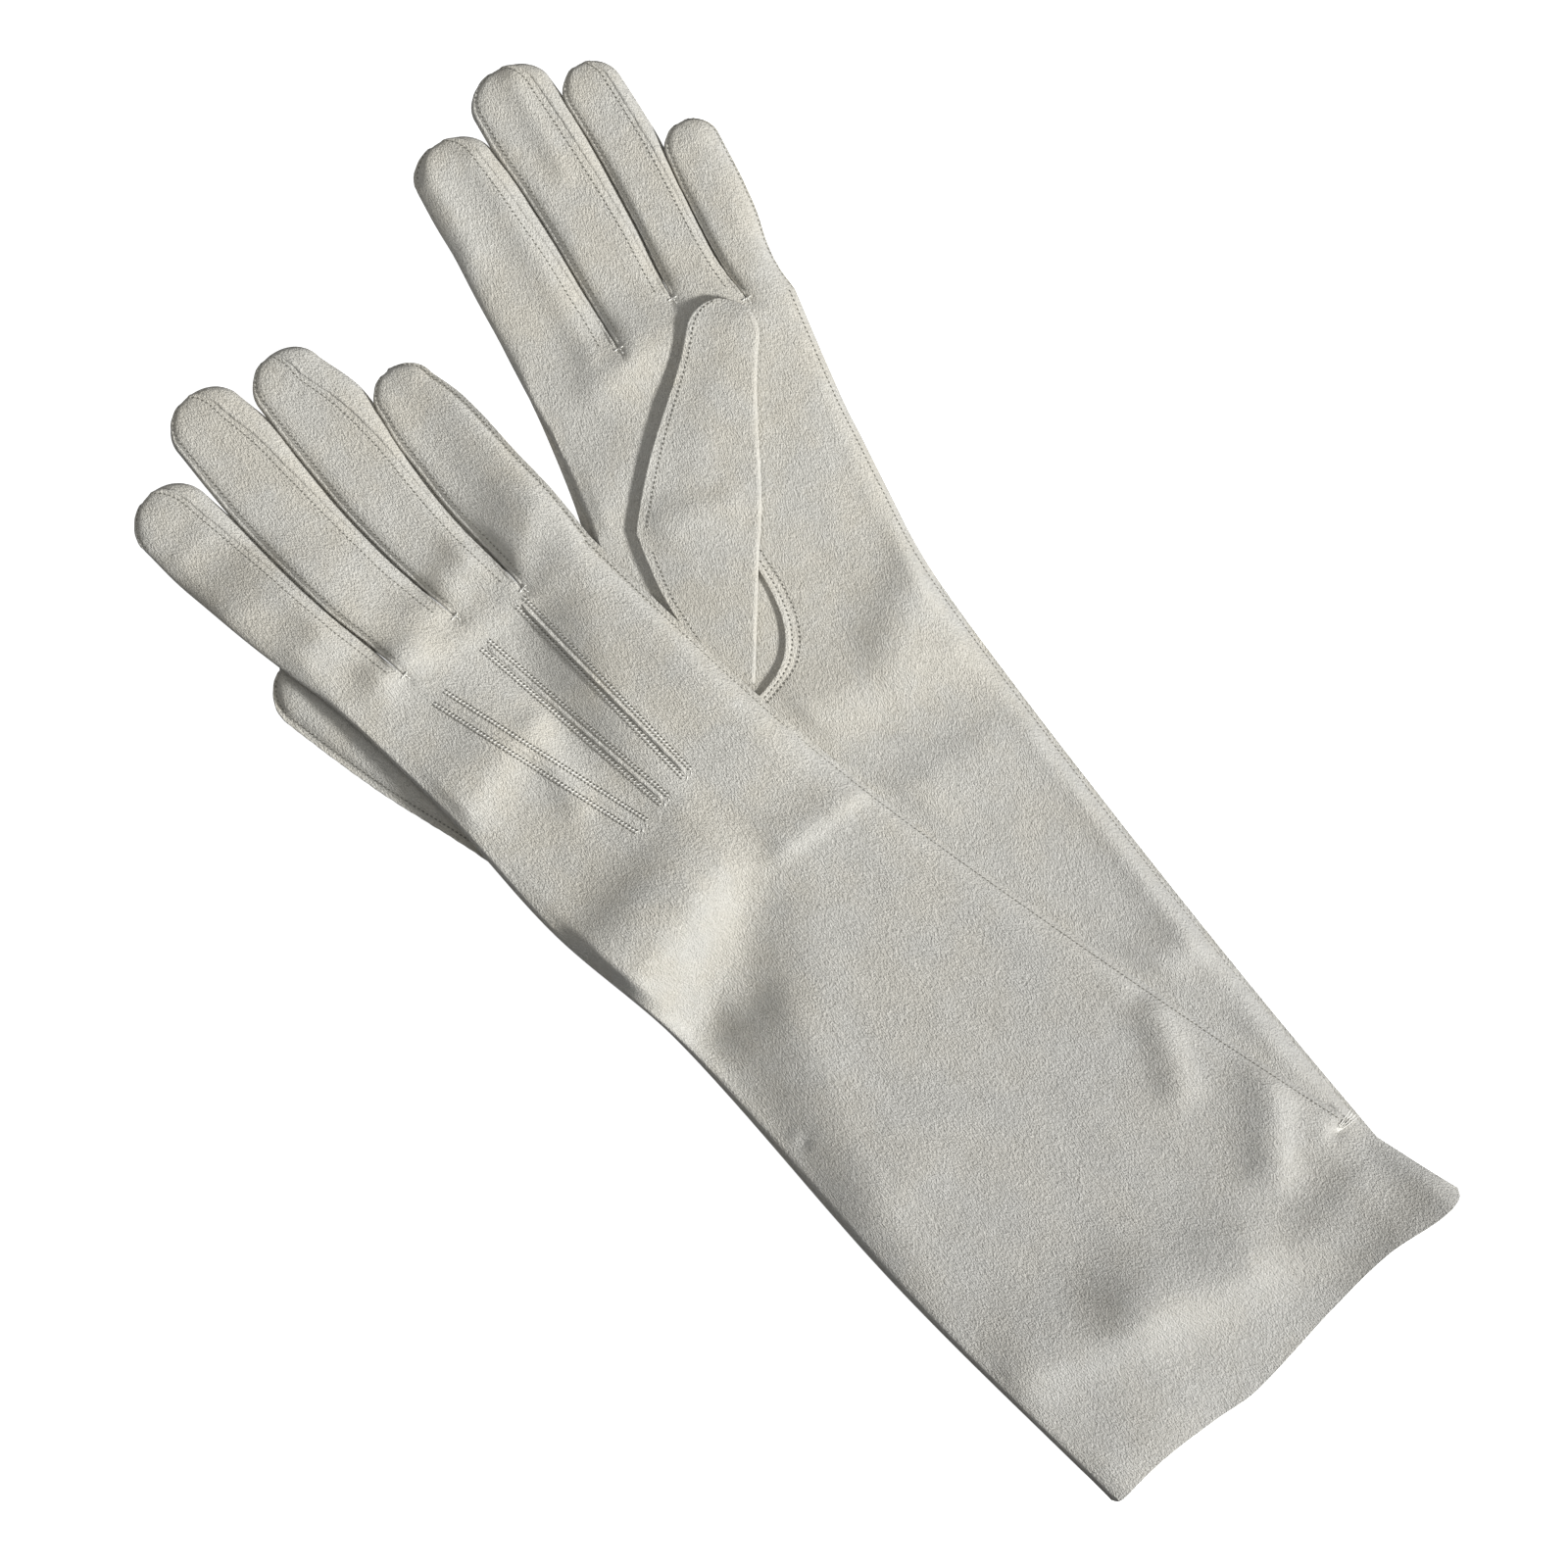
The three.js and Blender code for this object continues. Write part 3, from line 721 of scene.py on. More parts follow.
class StageSetting(bpy.types.PropertyGroup):
    """The floor, the light and the camera."""

    floor: bpy.props.FloatVectorProperty(
        name="Floor", description="Colour of the floor", subtype="COLOR", size=3,
        default=(0.9, 0.9, 0.9), min=0, max=1,
    )
    key: bpy.props.FloatProperty(name="Key Light", description="Power of the main light", default=578, min=0)
    fill: bpy.props.FloatProperty(
        name="Fill Light", description="Power of the light over the fingers", default=0.62, min=0
    )
    ambient: bpy.props.FloatProperty(
        name="Ambient", description="Strength of the even light", default=0.17, min=0
    )
    azimuth: bpy.props.FloatProperty(
        name="Light From", description="Direction that the light comes from, from +X towards +Y",
        default=math.radians(-18), subtype="ANGLE",
    )
    elevation: bpy.props.FloatProperty(
        name="Light Height", description="How high the light stands",
        default=math.radians(30), subtype="ANGLE",
    )
    lens: bpy.props.FloatProperty(name="Lens", description="Focal length", default=200, min=20)
    span: bpy.props.FloatProperty(
        name="Span", description="Width that the camera takes in", default=0.4125, min=0.1, unit="LENGTH"
    )


SETTINGS = {
    "opera_shape": GloveShape,
    "opera_sewing": GloveSewing,
    "opera_finish": GloveFinish,
    "opera_stage": StageSetting,
}


def shape():
    return bpy.context.scene.opera_shape


def sewing():
    return bpy.context.scene.opera_sewing


# ------------------------------------------------------------------ shader maths


class Socket:
    """Wraps a node socket, so that values are worked with as Python expressions."""

    def __init__(self, graph, socket):
        self.graph = graph
        self.socket = socket

    def _math(self, operation, *values):
        return self.graph.node("ShaderNodeMath", {"operation": operation}, *values)

    def __add__(self, other):
        return self._math("ADD", self, other)

    __radd__ = __add__

    def __sub__(self, other):
        return self._math("SUBTRACT", self, other)

    def __rsub__(self, other):
        return self._math("SUBTRACT", other, self)

    def __mul__(self, other):
        return self._math("MULTIPLY", self, other)

    __rmul__ = __mul__


class Graph:
    """The nodes of one finish."""

    def __init__(self, name):
        self.material = bpy.data.materials.new(name)
        self.material.use_nodes = True
        self.tree = self.material.node_tree
        self.tree.nodes.clear()

    def node(self, kind, settings, *values, output=0, **named):
        """Adds a node. Settings come first, then the values or links of its inputs."""
        made = self.tree.nodes.new(kind)
        for key, value in settings.items():
            setattr(made, key, value)
        pairs = list(enumerate(values))
        pairs += [(key.replace("_", " "), value) for key, value in named.items()]
        for key, value in pairs:
            if isinstance(value, Socket):
                self.tree.links.new(value.socket, made.inputs[key])
            elif value is not None:
                made.inputs[key].default_value = value
        return Socket(self, made.outputs[output])

    def blend(self, factor, a, b):
        made = self.tree.nodes.new("ShaderNodeMix")
        made.data_type = "RGBA"
        for key, value in ((0, factor), (6, a), (7, b)):
            if isinstance(value, Socket):
                self.tree.links.new(value.socket, made.inputs[key])
            else:
                made.inputs[key].default_value = value
        return Socket(self, made.outputs[2])

    def surface(self, shader):
        out = self.tree.nodes.new("ShaderNodeOutputMaterial")
        self.tree.links.new(shader.socket, out.inputs["Surface"])


def rgba(colour, share=1.0):
    return (colour[0] * share, colour[1] * share, colour[2] * share, 1)


def sueded_cotton(glove):
    """Doubled cotton with a brushed nap that runs along the glove."""
    name = f"duplex_fabric_{glove.name}"
    if name in bpy.data.materials:
        return bpy.data.materials[name]
    finish = bpy.context.scene.opera_finish
    g = Graph(name)
    place = g.node("ShaderNodeTexCoord", {}, output=3)
    along = g.node("ShaderNodeMapping", {}, place, None, (0, 0, -glove.turn), (1, 1, 1))
    brushed = g.node("ShaderNodeMapping", {}, along, None, (0, 0, 0.35), (0.55, 1, 1))
    fibre = g.node("ShaderNodeTexNoise", {}, Vector=brushed, Scale=2600.0, Detail=2.0, Roughness=0.6)
    pile = g.node("ShaderNodeTexNoise", {}, Vector=brushed, Scale=900.0, Detail=3.0, Roughness=0.6)
    patch = g.node("ShaderNodeTexNoise", {}, Vector=along, Scale=60.0, Detail=3.0, Roughness=0.55)
    cloud = g.node("ShaderNodeTexNoise", {}, Vector=along, Scale=210.0, Detail=2.0, Roughness=0.5)
    warm = g.node("ShaderNodeMapRange", {}, patch, 0.4, 0.62, 0.0, 1.0)
    hand = g.blend(warm, rgba(finish.cloth), rgba(finish.worn))
    # Painted shade: the cloth is mixed towards a greyer, darker colour near the cuff.
    along_x = g.node("ShaderNodeSeparateXYZ", {}, along, output=0)
    origin = -(glove.cuff[0] * math.cos(glove.turn) + glove.cuff[1] * math.sin(glove.turn)) * MM
    painted_cuff_shade = g.node(
        "ShaderNodeMapRange", {"interpolation_type": "SMOOTHSTEP"}, along_x + origin, 0.24, 0.06, 0.0, 1.0
    )
    arm = g.blend(0.5, hand, rgba(finish.arm))
    colour = g.blend(painted_cuff_shade, hand, arm)
    shade = fibre * 0.5 + pile * 0.35 + cloud * 0.15
    light = g.node("ShaderNodeMapRange", {}, shade, 0.36, 0.64, 0.0, 1.0)
    colour = g.blend(light, g.blend(0.84, rgba((0, 0, 0)), colour), g.blend(0.1, colour, rgba((1, 1, 1))))
    rough = 0.86 + 0.14 * fibre
    relief = fibre * 1.4 + pile * 0.45 + cloud * 0.4
    bump = g.node("ShaderNodeBump", {}, Strength=0.95, Distance=finish.nap, Height=relief)
    skin = g.node(
        "ShaderNodeBsdfPrincipled", {}, Base_Color=colour, Roughness=rough, Normal=bump,
        Sheen_Weight=0.25, Sheen_Roughness=0.6, Specular_IOR_Level=0.2,
    )
    g.surface(skin)
    return g.material


def cotton_thread(painted_hole_shade=False):
    """Matt twisted thread. Where it is drawn down into its needle holes, it takes a dark colour that paints
    the shade in those holes.
    """
    name = "sunk_thread" if painted_hole_shade else "sewing_thread"
    if name in bpy.data.materials:
        return bpy.data.materials[name]
    finish = bpy.context.scene.opera_finish
    shade = finish.painted_hole_shade if painted_hole_shade else finish.thread
    g = Graph(name)
    place = g.node("ShaderNodeTexCoord", {}, output=3)
    twist = g.node("ShaderNodeTexNoise", {}, Vector=place, Scale=5200.0, Detail=2.0, Roughness=0.6)
    colour = g.blend(twist, rgba(shade, 0.86), rgba(shade))
    bump = g.node("ShaderNodeBump", {}, Strength=0.5, Distance=0.00004, Height=twist)
    skin = g.node(
        "ShaderNodeBsdfPrincipled", {}, Base_Color=colour, Roughness=0.7 + 0.15 * twist, Normal=bump,
        Specular_IOR_Level=0.3,
    )
    g.surface(skin)
    return g.material


# ------------------------------------------------------------------ making cloth


def laid(across, along, place):
    """A grid whose corners go where place(u, v) says."""
    bm = bmesh.new()
    bmesh.ops.create_grid(bm, x_segments=across, y_segments=along, size=0.5)
    flat = np.array([vert.co[:2] for vert in bm.verts]) + 0.5
    for vert, point in zip(bm.verts, place(flat[:, 0], flat[:, 1]).tolist()):
        vert.co = point
    bmesh.ops.remove_doubles(bm, verts=bm.verts, dist=4e-6)
    bmesh.ops.dissolve_degenerate(bm, edges=bm.edges, dist=1e-7)
    return bm


def spread(name, across, along, place, material, wall=None):
    """A cut piece of cloth. place(u, v) gives the outside of the cloth."""
    bm = laid(across, along, place)
    return cloth_object(name, bm, material, shape().cloth if wall is None else wall)


def thicken(bm, wall):
    """Gives the sheet its wall on the inside."""
    middle = sum((face.calc_center_median() for face in bm.faces), Vector()) / len(bm.faces)
    if sum((face.calc_center_median() - middle).dot(face.normal) * face.calc_area() for face in bm.faces) < 0:
        bmesh.ops.reverse_faces(bm, faces=bm.faces[:])
        bm.normal_update()
    made = bmesh.ops.extrude_face_region(bm, geom=bm.faces[:], use_keep_orig=True)
    for vert in made["geom"]:
        if isinstance(vert, bmesh.types.BMVert):
            vert.co -= vert.normal * wall
    bmesh.ops.recalc_face_normals(bm, faces=bm.faces[:])


def cloth_object(name, bm, material, wall):
    mesh = bpy.data.meshes.new(name)
    bm.normal_update()
    if wall:
        thicken(bm, wall)
    for face in bm.faces:
        face.smooth = True
    bm.to_mesh(mesh)
    bm.free()
    mesh.set_sharp_from_angle(angle=math.radians(48))
    mesh.materials.append(material)
    piece = bpy.data.objects.new(name, mesh)
    bpy.context.scene.collection.objects.link(piece)
    return piece


def trail(points, beside, pitch):
    """Places at equal distances along a line of points, each with its direction and outward direction."""
    steps = np.linalg.norm(np.diff(points, axis=0), axis=1)
    run = np.concatenate([[0], np.cumsum(steps)])
    count = max(int(run[-1] / pitch), 2)
    at = (np.arange(count) + 0.5) * run[-1] / count
    spots = np.stack([np.interp(at, run, points[:, k]) for k in range(3)], axis=1)
    sides = np.stack([np.interp(at, run, beside[:, k]) for k in range(3)], axis=1) - spots
    ahead = np.gradient(spots, axis=0)
    ahead /= np.linalg.norm(ahead, axis=1)[:, None]
    out = np.cross(sides, ahead)
    out *= np.where(out[:, 2:3] < 0, -1, 1)
    out /= np.maximum(np.linalg.norm(out, axis=1)[:, None], 1e-12)
    return spots, ahead, out


def stitches(name, lines, painted_hole_shade=True, length=None, thick=None, lean=0.16, pitch=None):
    """Rows of small stitches along the given lines. Unless told otherwise they take the dark thread colour
    that paints the shade of their needle holes.
    """
    sew = sewing()
    length = length or sew.stitch
    thick = thick or sew.thread
    bm = bmesh.new()
    for points, beside in lines:
        spots, ahead, out = trail(points, beside, pitch or sew.pitch)
        for n, (spot, along, up) in enumerate(zip(spots, ahead, out)):
            side = np.cross(up, along)
            turned = along + lean * (1 + 0.35 * math.sin(n * 2.4)) * side
            turned /= np.linalg.norm(turned)
            side = np.cross(up, turned)
            axes = np.stack([turned * length / 2, side * thick / 2, up * thick / 2], axis=1)
            place = Matrix(axes.tolist()).to_4x4()
            place.translation = Vector((spot + up * (0.25 * thick)).tolist())
            bmesh.ops.create_icosphere(bm, subdivisions=1, radius=1, matrix=place)
    return cloth_object(name, bm, cotton_thread(painted_hole_shade), 0)


def raw_edge(name, lines, material, width, height):
    """A raw edge that stands up along each line, thin at both ends."""
    pieces = []
    for n, (points, beside) in enumerate(lines):
        spots, ahead, out = trail(points, beside, 0.0011)
        side = np.cross(out, ahead)
        count = len(spots)

        def place(u, v, spots=spots, side=side, out=out, count=count):
            at = v * (count - 1)
            i = np.clip(at.astype(int), 0, count - 2)
            k = (at - i)[:, None]
            centre = spots[i] * (1 - k) + spots[i + 1] * k
            s = side[i] * (1 - k) + side[i + 1] * k
            o = out[i] * (1 - k) + out[i + 1] * k
            wave = 1 + 0.12 * np.sin(at * 1.9) + 0.08 * np.sin(at * 0.83 + 1)
            slim = arc(np.minimum(v, 1 - v) * count / 3.0) * wave
            a = 2 * np.pi * u
            sideways = (np.cos(a) * width / 2 * slim)[:, None]
            upwards = (np.sin(a) * height * slim)[:, None]
            return centre + s * sideways + o * upwards

        bm = laid(8, count - 1, place)
        bmesh.ops.recalc_face_normals(bm, faces=bm.faces)
        mesh = bpy.data.meshes.new(f"{name}_{n}")
        bm.to_mesh(mesh)
        bm.free()
        pieces.append(mesh)
    bm = bmesh.new()
    for mesh in pieces:
        bm.from_mesh(mesh)
        bpy.data.meshes.remove(mesh)
    return cloth_object(name, bm, material, 0)


def hand_line(glove, x, y, above=0.0, aside=0.4):
    """A line over the top of the hand, and the same line moved a little to its side."""
    x, y = np.asarray(x, float), np.asarray(y, float)
    dx, dy = np.gradient(x), np.gradient(y)
    size = np.hypot(dx, dy)
    return (
        glove.on_top(x, y, above),
        glove.on_top(x + aside * dy / size, y - aside * dx / size, above),
    )


def finger_line(finger, v, p):
    """A line along the finger, and the same line moved a little round it."""
    return finger.place(v, p), finger.place(v, p - 0.02)


def declare(width, length, area):
    """Turns the piece's cut width and area into metres and keeps nothing."""
    width * MM
    area * MM * MM


# ------------------------------------------------------------------ operators


class OPERA_OT_trank(bpy.types.Operator):
    """The hand and arm of each glove, one piece folded at the index finger's side"""

    bl_idname = "opera.trank"
    bl_label = "Hand and Arm"

    def execute(self, context):
        for glove in GLOVES:
            self.make(glove)
        return {"FINISHED"}

    def make(self, glove):
        def place(u, v):
            nominal = lerp(0, FORK_LINE, v)
            low, high = glove.edges(nominal)
            height = glove.height(nominal)
            radius = height / 2
            upper = u > TRANK_FOLD
            angle = np.clip(np.abs(u - TRANK_FOLD) / TRANK_TURN, 0, 1) * np.pi / 2
            over_share = (u - TRANK_FOLD - TRANK_TURN) / (1 - TRANK_FOLD - TRANK_TURN)
            under_share = (TRANK_FOLD - TRANK_TURN - u) / (TRANK_FOLD - TRANK_TURN)
            share = np.clip(np.where(upper, over_share, under_share), 0, 1)
            out = FOLD_ROUND * radius * (1 - np.cos(angle)) + share * (high - low - FOLD_ROUND * radius)
            x = low + out
            y = lerp(glove.cuff_edge(x), glove.fork_edge(x), v)
            lift = glove.lift(x, y)
            under = lift + radius * (1 - np.sin(angle))
            over = glove.top(x, y)
            return glove.world(x, y, np.where(upper, over, under))

        piece = spread(
            f"{glove.name}_hand_and_arm", 170, 206, place, sueded_cotton(glove)
        )
        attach(piece, glove.hand)
        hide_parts(f"{glove.name}_trank")
        low, high = glove.edges(np.linspace(0, FORK_LINE, 60))
        area = float(np.mean(high - low)) * 2 * (FORK_LINE - float(np.mean([p for _, p in glove.cuff_line])))
        declare(2 * CUFF_WIDTH, 312, area)


class OPERA_OT_side_seam(bpy.types.Operator):
    """The row of thread that closes each hand and arm along the little finger's side"""

    bl_idname = "opera.side_seam"
    bl_label = "Side Seams"

    def execute(self, context):
        for glove in GLOVES:
            v = np.linspace(0.13 if glove is right else 0.01, 1, 500)
            _, high = glove.edges(FORK_LINE * v)
            inset = sewing().margin / MM
            x = high - inset
            y = lerp(glove.cuff_edge(x), glove.fork_edge(x), v)
            piece = stitches(f"{glove.name}_side_seam_thread", [hand_line(glove, x, y)])
            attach(piece, glove.hand)
            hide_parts(f"{glove.name}_side_seam")
        return {"FINISHED"}


class OPERA_OT_points(bpy.types.Operator):
    """The three tucks on the back of each hand, with a row of stitches along both sides"""

    bl_idname = "opera.points"
    bl_label = "Points"

    def execute(self, context):
        for glove in GLOVES:
            for n, (top, foot) in enumerate(glove.points):
                v = np.linspace(0, 1, 120)
                y = lerp(POINT_END - POINT_LENGTH, POINT_END, v)
                x = lerp(foot, top, v)
                name = f"{glove.name}_point_{n + 1}"

                def line(aside, above=0.0, ends=(0, 120), glove=glove, x=x, y=y):
                    part = slice(*ends)
                    if glove is right:
                        return hand_line(glove, x[part] + aside, y[part], above)
                    below = glove.lift(x[part], y[part]) + above
                    at = x[part] + aside
                    return glove.world(at, y[part], below), glove.world(at + 0.4, y[part], below)

                beside = 2.1 if n == 0 else 1.5
                bar_y = np.full(8, y[0] - 0.6)
                bar_x = np.linspace(x[0] - 1.6, x[0] + 1.6, 8)
                bar = hand_line(glove, bar_x, bar_y) if glove is right else line(0, 0, (0, 4))
                high = (0.0003, 0.0006, 0.0009)[n] if glove is right else 0.0006
                tuck = raw_edge(f"{name}_tuck", [line(0, -0.15)], sueded_cotton(glove), 0.0014, high)
                slanted = stitches(
                    f"{name}_thread", [line(-beside), line(beside), bar],
                    painted_hole_shade=False, length=0.0012, thick=0.0003, lean=0.9, pitch=0.0011,
                )
                # Small dark grains at both sides of each row, painting the shadows in the needle holes.
                holes = stitches(
                    f"{name}_needle_holes",
                    [line(side * (beside + step)) for side in (-1, 1) for step in (-0.45, 0.5)],
                    length=0.0006, thick=0.0005, pitch=0.0011,
                )
                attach(tuck, glove.hand)
                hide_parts(name)
                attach(slanted, glove.hand)
                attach(holes, glove.hand)
        return {"FINISHED"}


class OPERA_OT_index_tabs(bpy.types.Operator):
    """The index fingers, each one tab folded at its outer side"""

    bl_idname = "opera.index_tabs"
    bl_label = "Index Tabs"

    def execute(self, context):
        for glove in GLOVES:
            finger = glove.fingers[0]

            def place(u, v, finger=finger):
                return finger.place(v, lerp(FAR_SEAM, finger.upper_seam(v), u))

            piece = spread(
                f"{finger.name}_tab_cloth", 46, 64, place, sueded_cotton(glove)
            )
            finger.ride(piece)
            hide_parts(f"{finger.name}_tab")
            declare(44, finger.length, 38 * finger.length)
        return {"FINISHED"}


class OPERA_OT_tabs(bpy.types.Operator):
    """The back tab and palm tab of the middle, ring and little fingers"""

    bl_idname = "opera.tabs"
    bl_label = "Backs and Palms"

    def execute(self, context):
        for glove in GLOVES:
            upper, lower = ("back", "palm") if glove is right else ("palm", "back")
            for finger in glove.fingers[1:]:

                def over(u, v, finger=finger):
                    return finger.place(v, lerp(NEAR_SEAM, finger.upper_seam(v), u))

                def under(u, v, finger=finger):
                    return finger.place(v, lerp(-1 if finger.is_little else FAR_SEAM, UNDER_SEAM, u))

                for side, place in ((upper, over), (lower, under)):
                    piece = spread(
                        f"{finger.name}_{side}_cloth", 26, 64, place, sueded_cotton(glove)
                    )
                    finger.ride(piece)
                    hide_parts(f"{finger.name}_{side}")
                    wide = finger.b - finger.a
                    declare(wide + 3, finger.length, 0.85 * wide * finger.length)
        return {"FINISHED"}


class OPERA_OT_fourchettes(bpy.types.Operator):
    """The narrow strips between the back and the palm in the forks"""

    bl_idname = "opera.fourchettes"
    bl_label = "Fourchettes"

    def execute(self, context):
        for glove in GLOVES:
            for finger in glove.fingers:
                if not finger.is_little:

                    def outer(u, v, finger=finger):
                        return finger.place(v, lerp(finger.upper_seam(v), 2 + FAR_SEAM, u))

                    self.strip(finger, finger.i + 1, outer)
                if not finger.is_index:

                    def inner(u, v, finger=finger):
                        return finger.place(v, lerp(UNDER_SEAM, NEAR_SEAM, u))

                    self.strip(finger, finger.i - 1, inner)
        return {"FINISHED"}

    def strip(self, finger, neighbour, place):
        name = f"{finger.name}_fourchette_{FINGERS[neighbour]}_side"
        piece = spread(f"{name}_cloth", 12, 64, place, sueded_cotton(finger.glove))
        finger.ride(piece)
        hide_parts(name)
        declare(10, finger.length, (5.4 if neighbour > finger.i else 3.8) * finger.length)


class OPERA_OT_finger_seams(bpy.types.Operator):
    """The raw edges and rows of thread round each finger"""

    bl_idname = "opera.finger_seams"
    bl_label = "Finger Seams"

    def execute(self, context):
        sew = sewing()
        for glove in GLOVES:
            knots = []
            for finger in glove.fingers:
                v = np.linspace(0.0, 0.99, 260)
                upper = finger.upper_seam(v)
                inset = sew.margin / MM / (np.pi * finger.radius * np.maximum(np.sin(np.pi * upper), 0.35))
                lines = []
                rows = []
                if not finger.is_little:
                    lines.append(finger_line(finger, v, upper))
                    rows.append(finger_line(finger, v[8:-8], (upper - inset)[8:-8]))
                else:
                    rows.append(finger_line(finger, v[:-8], 0.87))
                if not finger.is_index:
                    lines.append(finger_line(finger, v, NEAR_SEAM))
                    rows.append(finger_line(finger, v[8:-8], NEAR_SEAM + 0.09))
                else:
                    tip = np.linspace(0.985, STRAIGHT + 0.02, 60)
                    lines.append(finger_line(finger, tip, 0.04))
                    rows.append(finger_line(finger, tip[4:], 0.14))
                if not finger.is_index:
                    t = np.linspace(0, 1, 8)
                    at_y = float(glove.fork_edge(finger.a))
                    knots.append(hand_line(glove, finger.a + lerp(-1.4, 1.4, t), at_y - 0.4 + 0 * t, 0.1))
                    knots.append(hand_line(glove, finger.a + 0.3 + 0 * t, at_y - lerp(0.2, 2.2, t), 0.1))
                edge = raw_edge(
                    f"{finger.name}_raw_edges", lines, sueded_cotton(glove), sew.edge_width, sew.edge_height
                )
                thread = stitches(f"{finger.name}_thread", rows)
                finger.ride(edge)
                finger.ride(thread)
            ends = stitches(
                f"{glove.name}_fork_knots", knots, painted_hole_shade=False, length=0.0012, thick=0.0004, pitch=0.0009
            )
            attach(ends, glove.hand)
        return {"FINISHED"}


def thumb_rides(piece, glove):
    """Bakes the piece's place into its mesh. The left thumb's hinge and its way ahead are looked up but not
    used.
    """
    joint = next(j for j in frame["joints"] if j["name"] == "left_thumb_unfold")
    hinge = Vector(joint["pos_m"])
    _, _, _, (ahead_x, ahead_y) = left_hinge()
    ahead = Vector((glove.world(ahead_x, ahead_y, 0) - glove.world(0, 0, 0)).tolist())
    ahead.normalize()
    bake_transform(piece)


class OPERA_OT_thumbs(bpy.types.Operator):
    """The thumbs, each one folded piece with an outseam on the index finger's side"""

    bl_idname = "opera.thumbs"
    bl_label = "Thumbs"

    def execute(self, context):
        sew = sewing()
        parts = [
            ("left_thumb", Thumb(left, left_thumb_rows, 0.58, 0.58)),
            ("right_thumb", Thumb(right, right_thumb_rows, 1, 1)),
            ("left_thumb_root", Thumb(left, left_root_rows, 0.5, 0.58, 0.6)),
            ("right_thumb_root", Thumb(right, right_root_rows, 0.6, 1, 0.8)),
        ]
        for name, thumb in parts:
            glove = thumb.glove

            def place(u, v, thumb=thumb):
                return thumb.place(v, 2 * u - 1)

            root = name.endswith("root")
            piece = spread(
                f"{name}_cloth", 60, 22 if root else 60, place, sueded_cotton(glove)
            )
            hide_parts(name)
            start, end = (0.0, 1.0) if root else (0.0, 0.99)
            if name == "right_thumb":
                start = 0.04
            v = np.linspace(start, end, 160)
            line = (thumb.place(v, 0.999, -0.25), thumb.place(v, 0.96, -0.25))
            row = (thumb.place(v[3:-12], 0.93), thumb.place(v[3:-12], 0.9))
            edge = raw_edge(f"{name}_raw_edge", [line], sueded_cotton(glove), 0.7 * sew.edge_width, 0.0003)
            thread = stitches(f"{name}_thread", [row])
            for each in (piece, edge, thread):
                if name == "left_thumb":
                    thumb_rides(each, glove)
                elif root:
                    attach(each, glove.hand)
                else:
                    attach(each, name)
            if root:
                declare(46, 44, 1500 if glove is left else 700)
            else:
                declare(46, 76, 2900)
        return {"FINISHED"}


class OPERA_OT_thumb_hole(bpy.types.Operator):
    """The seam round the thumb hole in the left palm"""

    bl_idname = "opera.thumb_hole"
    bl_label = "Thumb Hole Seam"

    def execute(self, context):
        t = np.linspace(0, 1, 160)
        at = [0, 0.25, 0.47, 0.68, 0.85, 1]
        inner_x = through(at, [-13.5, -13.6, -15.6, -20.5, -28.2, -36], t)
        inner_y = through(at, [236, 225, 216, 209.0, 205.0, 203.5], t)
        outer_x = through(at, [-10.6, -10.2, -12.0, -17.8, -28.4, -36], t)
        outer_y = through(at, [238, 225, 215, 206.6, 202.2, 200.5], t)
        middle_x = lerp(inner_x, outer_x, 0.45)
        middle_y = lerp(inner_y, outer_y, 0.45)

        def rim(u, v):
            share = np.clip((u - 0.2) / 0.7, 0, 1)
            step = np.clip(u / 0.2, 0, 1)
            ix, iy = np.interp(v, t, inner_x), np.interp(v, t, inner_y)
            ox, oy = np.interp(v, t, outer_x), np.interp(v, t, outer_y)
            x = lerp(ix, ox, lerp(-0.04, 1, share))
            y = lerp(iy, oy, lerp(-0.04, 1, share))
            crown = lerp(1.15, -0.15, smooth(share, 0, 1)) - 0.25 * np.exp(-(((share - 0.45) / 0.12) ** 2))
            above = np.where(u < 0.2, lerp(-0.6, crown, arc(step)), np.where(u > 0.9, -0.4, crown))
            return left.world(x, y, left.top(x, y) + above)

        edge = spread("left_thumb_hole_rim", 18, 110, rim, sueded_cotton(left), 0)
        thread = stitches(
            "left_thumb_hole_thread",
            [hand_line(left, middle_x, middle_y, 0.45), hand_line(left, outer_x, outer_y)],
        )
        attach(edge, left.hand)
        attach(thread, left.hand)
        return {"FINISHED"}


class OPERA_OT_cuff_tack(bpy.types.Operator):
    """The short bar of thread where the right arm's seam ends near the cuff"""

    bl_idname = "opera.cuff_tack"
    bl_label = "Cuff Tack"

    def execute(self, context):
        lines = []
        for n in range(4):
            t = np.linspace(0, 1, 12)
            x = lerp(51.2, 58.2, t)
            y = lerp(26.8 - 0.25 * n, 27.0 - 0.9 * n, t)
            lines.append(hand_line(right, x, y, 0.1))
        thread = stitches(
            "right_cuff_tack_thread", lines, painted_hole_shade=False, length=0.0026, thick=0.0003, lean=0.05, pitch=0.0016
        )
        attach(thread, right.hand)
        return {"FINISHED"}


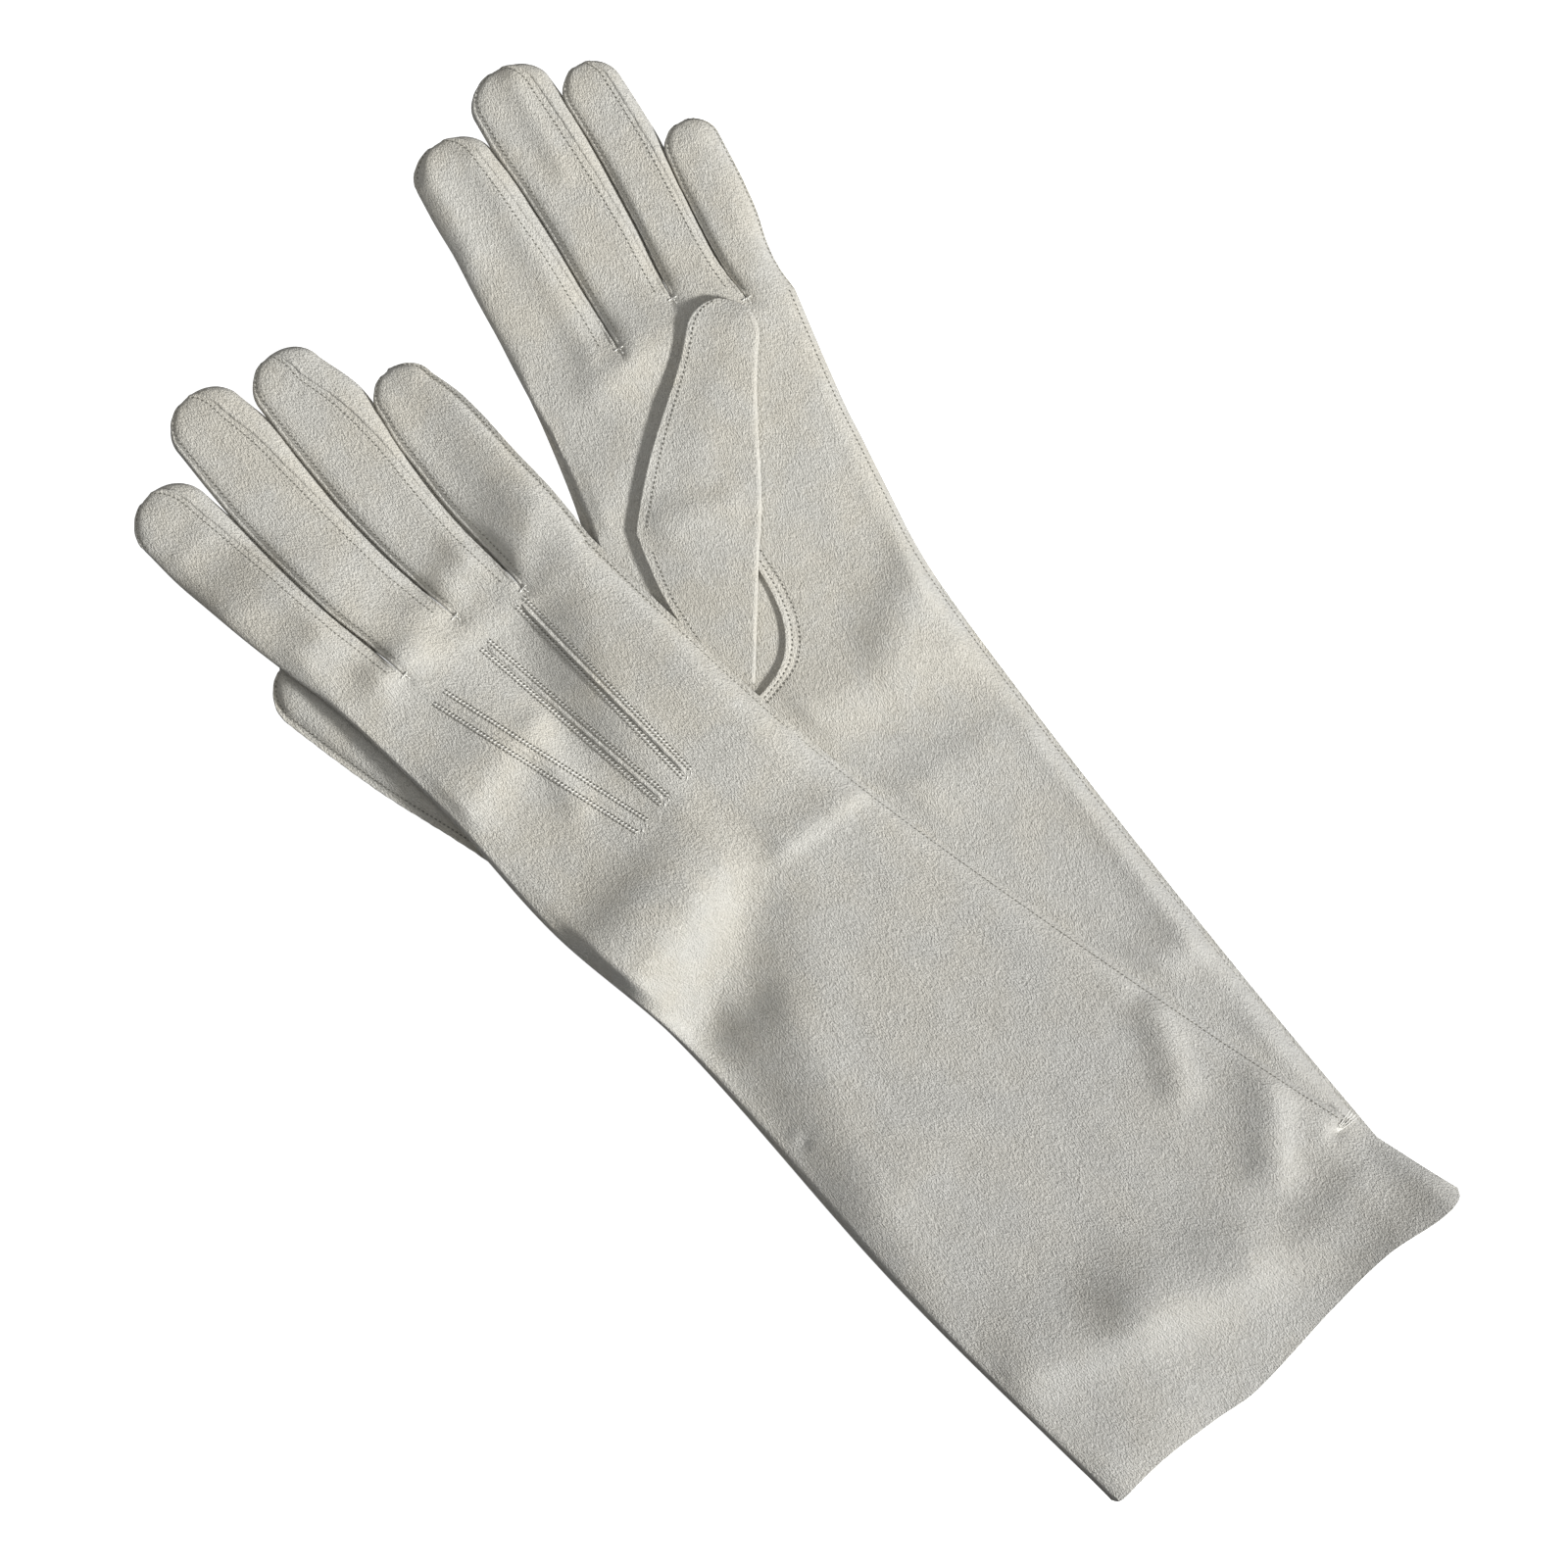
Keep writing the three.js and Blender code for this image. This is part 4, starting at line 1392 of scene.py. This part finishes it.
class OPERA_OT_stage(bpy.types.Operator):
    """The floor, the lights and the camera"""

    bl_idname = "opera.stage"
    bl_label = "Stage"

    def execute(self, context):
        stage = context.scene.opera_stage
        low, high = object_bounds()
        middle = (low + high) / 2
        bm = bmesh.new()
        bmesh.ops.create_grid(bm, x_segments=2, y_segments=2, size=4)
        bmesh.ops.translate(bm, verts=bm.verts, vec=(0, 0, -0.0002))
        mesh = bpy.data.meshes.new("floor")
        bm.to_mesh(mesh)
        bm.free()
        floor = bpy.data.objects.new("floor", mesh)
        context.scene.collection.objects.link(floor)
        g = Graph("pale_floor")
        skin = g.node(
            "ShaderNodeBsdfPrincipled", {}, Base_Color=rgba(stage.floor), Roughness=1.0,
            Specular_IOR_Level=0.0, Emission_Color=(1, 1, 1, 1), Emission_Strength=0.9,
        )
        g.surface(skin)
        mesh.materials.append(g.material)
        floor.visible_diffuse = False
        floor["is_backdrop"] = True

        towards = Vector((
            math.cos(stage.elevation) * math.cos(stage.azimuth),
            math.cos(stage.elevation) * math.sin(stage.azimuth),
            math.sin(stage.elevation),
        ))
        lamp = bpy.data.lights.new("window_light", "AREA")
        lamp.shape = "RECTANGLE"
        lamp.size = 1.0
        lamp.size_y = 0.8
        lamp.energy = stage.key
        window = bpy.data.objects.new("window_light", lamp)
        window.location = middle + towards * 6
        window.rotation_euler = towards.to_track_quat("Z", "Y").to_euler()
        context.scene.collection.objects.link(window)

        fill = bpy.data.lights.new("fill_light", "AREA")
        fill.shape = "DISK"
        fill.size = 0.3
        fill.energy = stage.fill
        over_fingers = bpy.data.objects.new("fill_light", fill)
        over_fingers.location = (low.x, high.y, 0.5)
        over_fingers.rotation_euler = (over_fingers.location - middle).to_track_quat("Z", "Y").to_euler()
        context.scene.collection.objects.link(over_fingers)

        world = bpy.data.worlds.new("even_light")
        world.use_nodes = True
        world.node_tree.nodes["Background"].inputs["Color"].default_value = (1, 1, 1, 1)
        world.node_tree.nodes["Background"].inputs["Strength"].default_value = stage.ambient
        context.scene.world = world
        context.scene.view_settings.view_transform = "Standard"

        data = bpy.data.cameras.new("camera")
        data.lens = stage.lens
        data.sensor_width = 36
        distance = stage.span * stage.lens / data.sensor_width
        camera = bpy.data.objects.new("camera", data)
        camera.location = (LOOK_AT[0] * MM, LOOK_AT[1] * MM, LOOK_AT[2] * MM + distance)
        data.clip_end = 20
        context.scene.collection.objects.link(camera)
        context.scene.camera = camera
        return {"FINISHED"}


OPERATORS = [
    OPERA_OT_trank,
    OPERA_OT_side_seam,
    OPERA_OT_points,
    OPERA_OT_index_tabs,
    OPERA_OT_tabs,
    OPERA_OT_fourchettes,
    OPERA_OT_finger_seams,
    OPERA_OT_thumbs,
    OPERA_OT_thumb_hole,
    OPERA_OT_cuff_tack,
    OPERA_OT_stage,
]


class OPERA_PT_gloves(bpy.types.Panel):
    """Lists the pieces and their settings"""

    bl_idname = "OPERA_PT_gloves"
    bl_label = "Opera Gloves"
    bl_space_type = "VIEW_3D"
    bl_region_type = "UI"
    bl_category = "Opera Gloves"

    def draw(self, context):
        for operator in OPERATORS:
            self.layout.operator(operator.bl_idname)
        for name, group in SETTINGS.items():
            settings = getattr(context.scene, name)
            for key in group.__annotations__:
                self.layout.prop(settings, key)


def register():
    for group in SETTINGS.values():
        bpy.utils.register_class(group)
    for operator in OPERATORS:
        bpy.utils.register_class(operator)
    bpy.utils.register_class(OPERA_PT_gloves)
    for name, group in SETTINGS.items():
        setattr(bpy.types.Scene, name, bpy.props.PointerProperty(type=group))


def unregister():
    for name in SETTINGS:
        delattr(bpy.types.Scene, name)
    bpy.utils.unregister_class(OPERA_PT_gloves)
    for operator in reversed(OPERATORS):
        bpy.utils.unregister_class(operator)
    for group in SETTINGS.values():
        bpy.utils.unregister_class(group)


def main():
    register()
    for glove in GLOVES:
        glove.fingers = [Finger(glove, i) for i in range(4)]
    bpy.ops.opera.trank()
    bpy.ops.opera.side_seam()
    bpy.ops.opera.points()
    bpy.ops.opera.index_tabs()
    bpy.ops.opera.tabs()
    bpy.ops.opera.fourchettes()
    bpy.ops.opera.finger_seams()
    bpy.ops.opera.thumbs()
    bpy.ops.opera.thumb_hole()
    bpy.ops.opera.cuff_tack()
    bpy.ops.opera.stage()


if __name__ == "__main__":
    main()
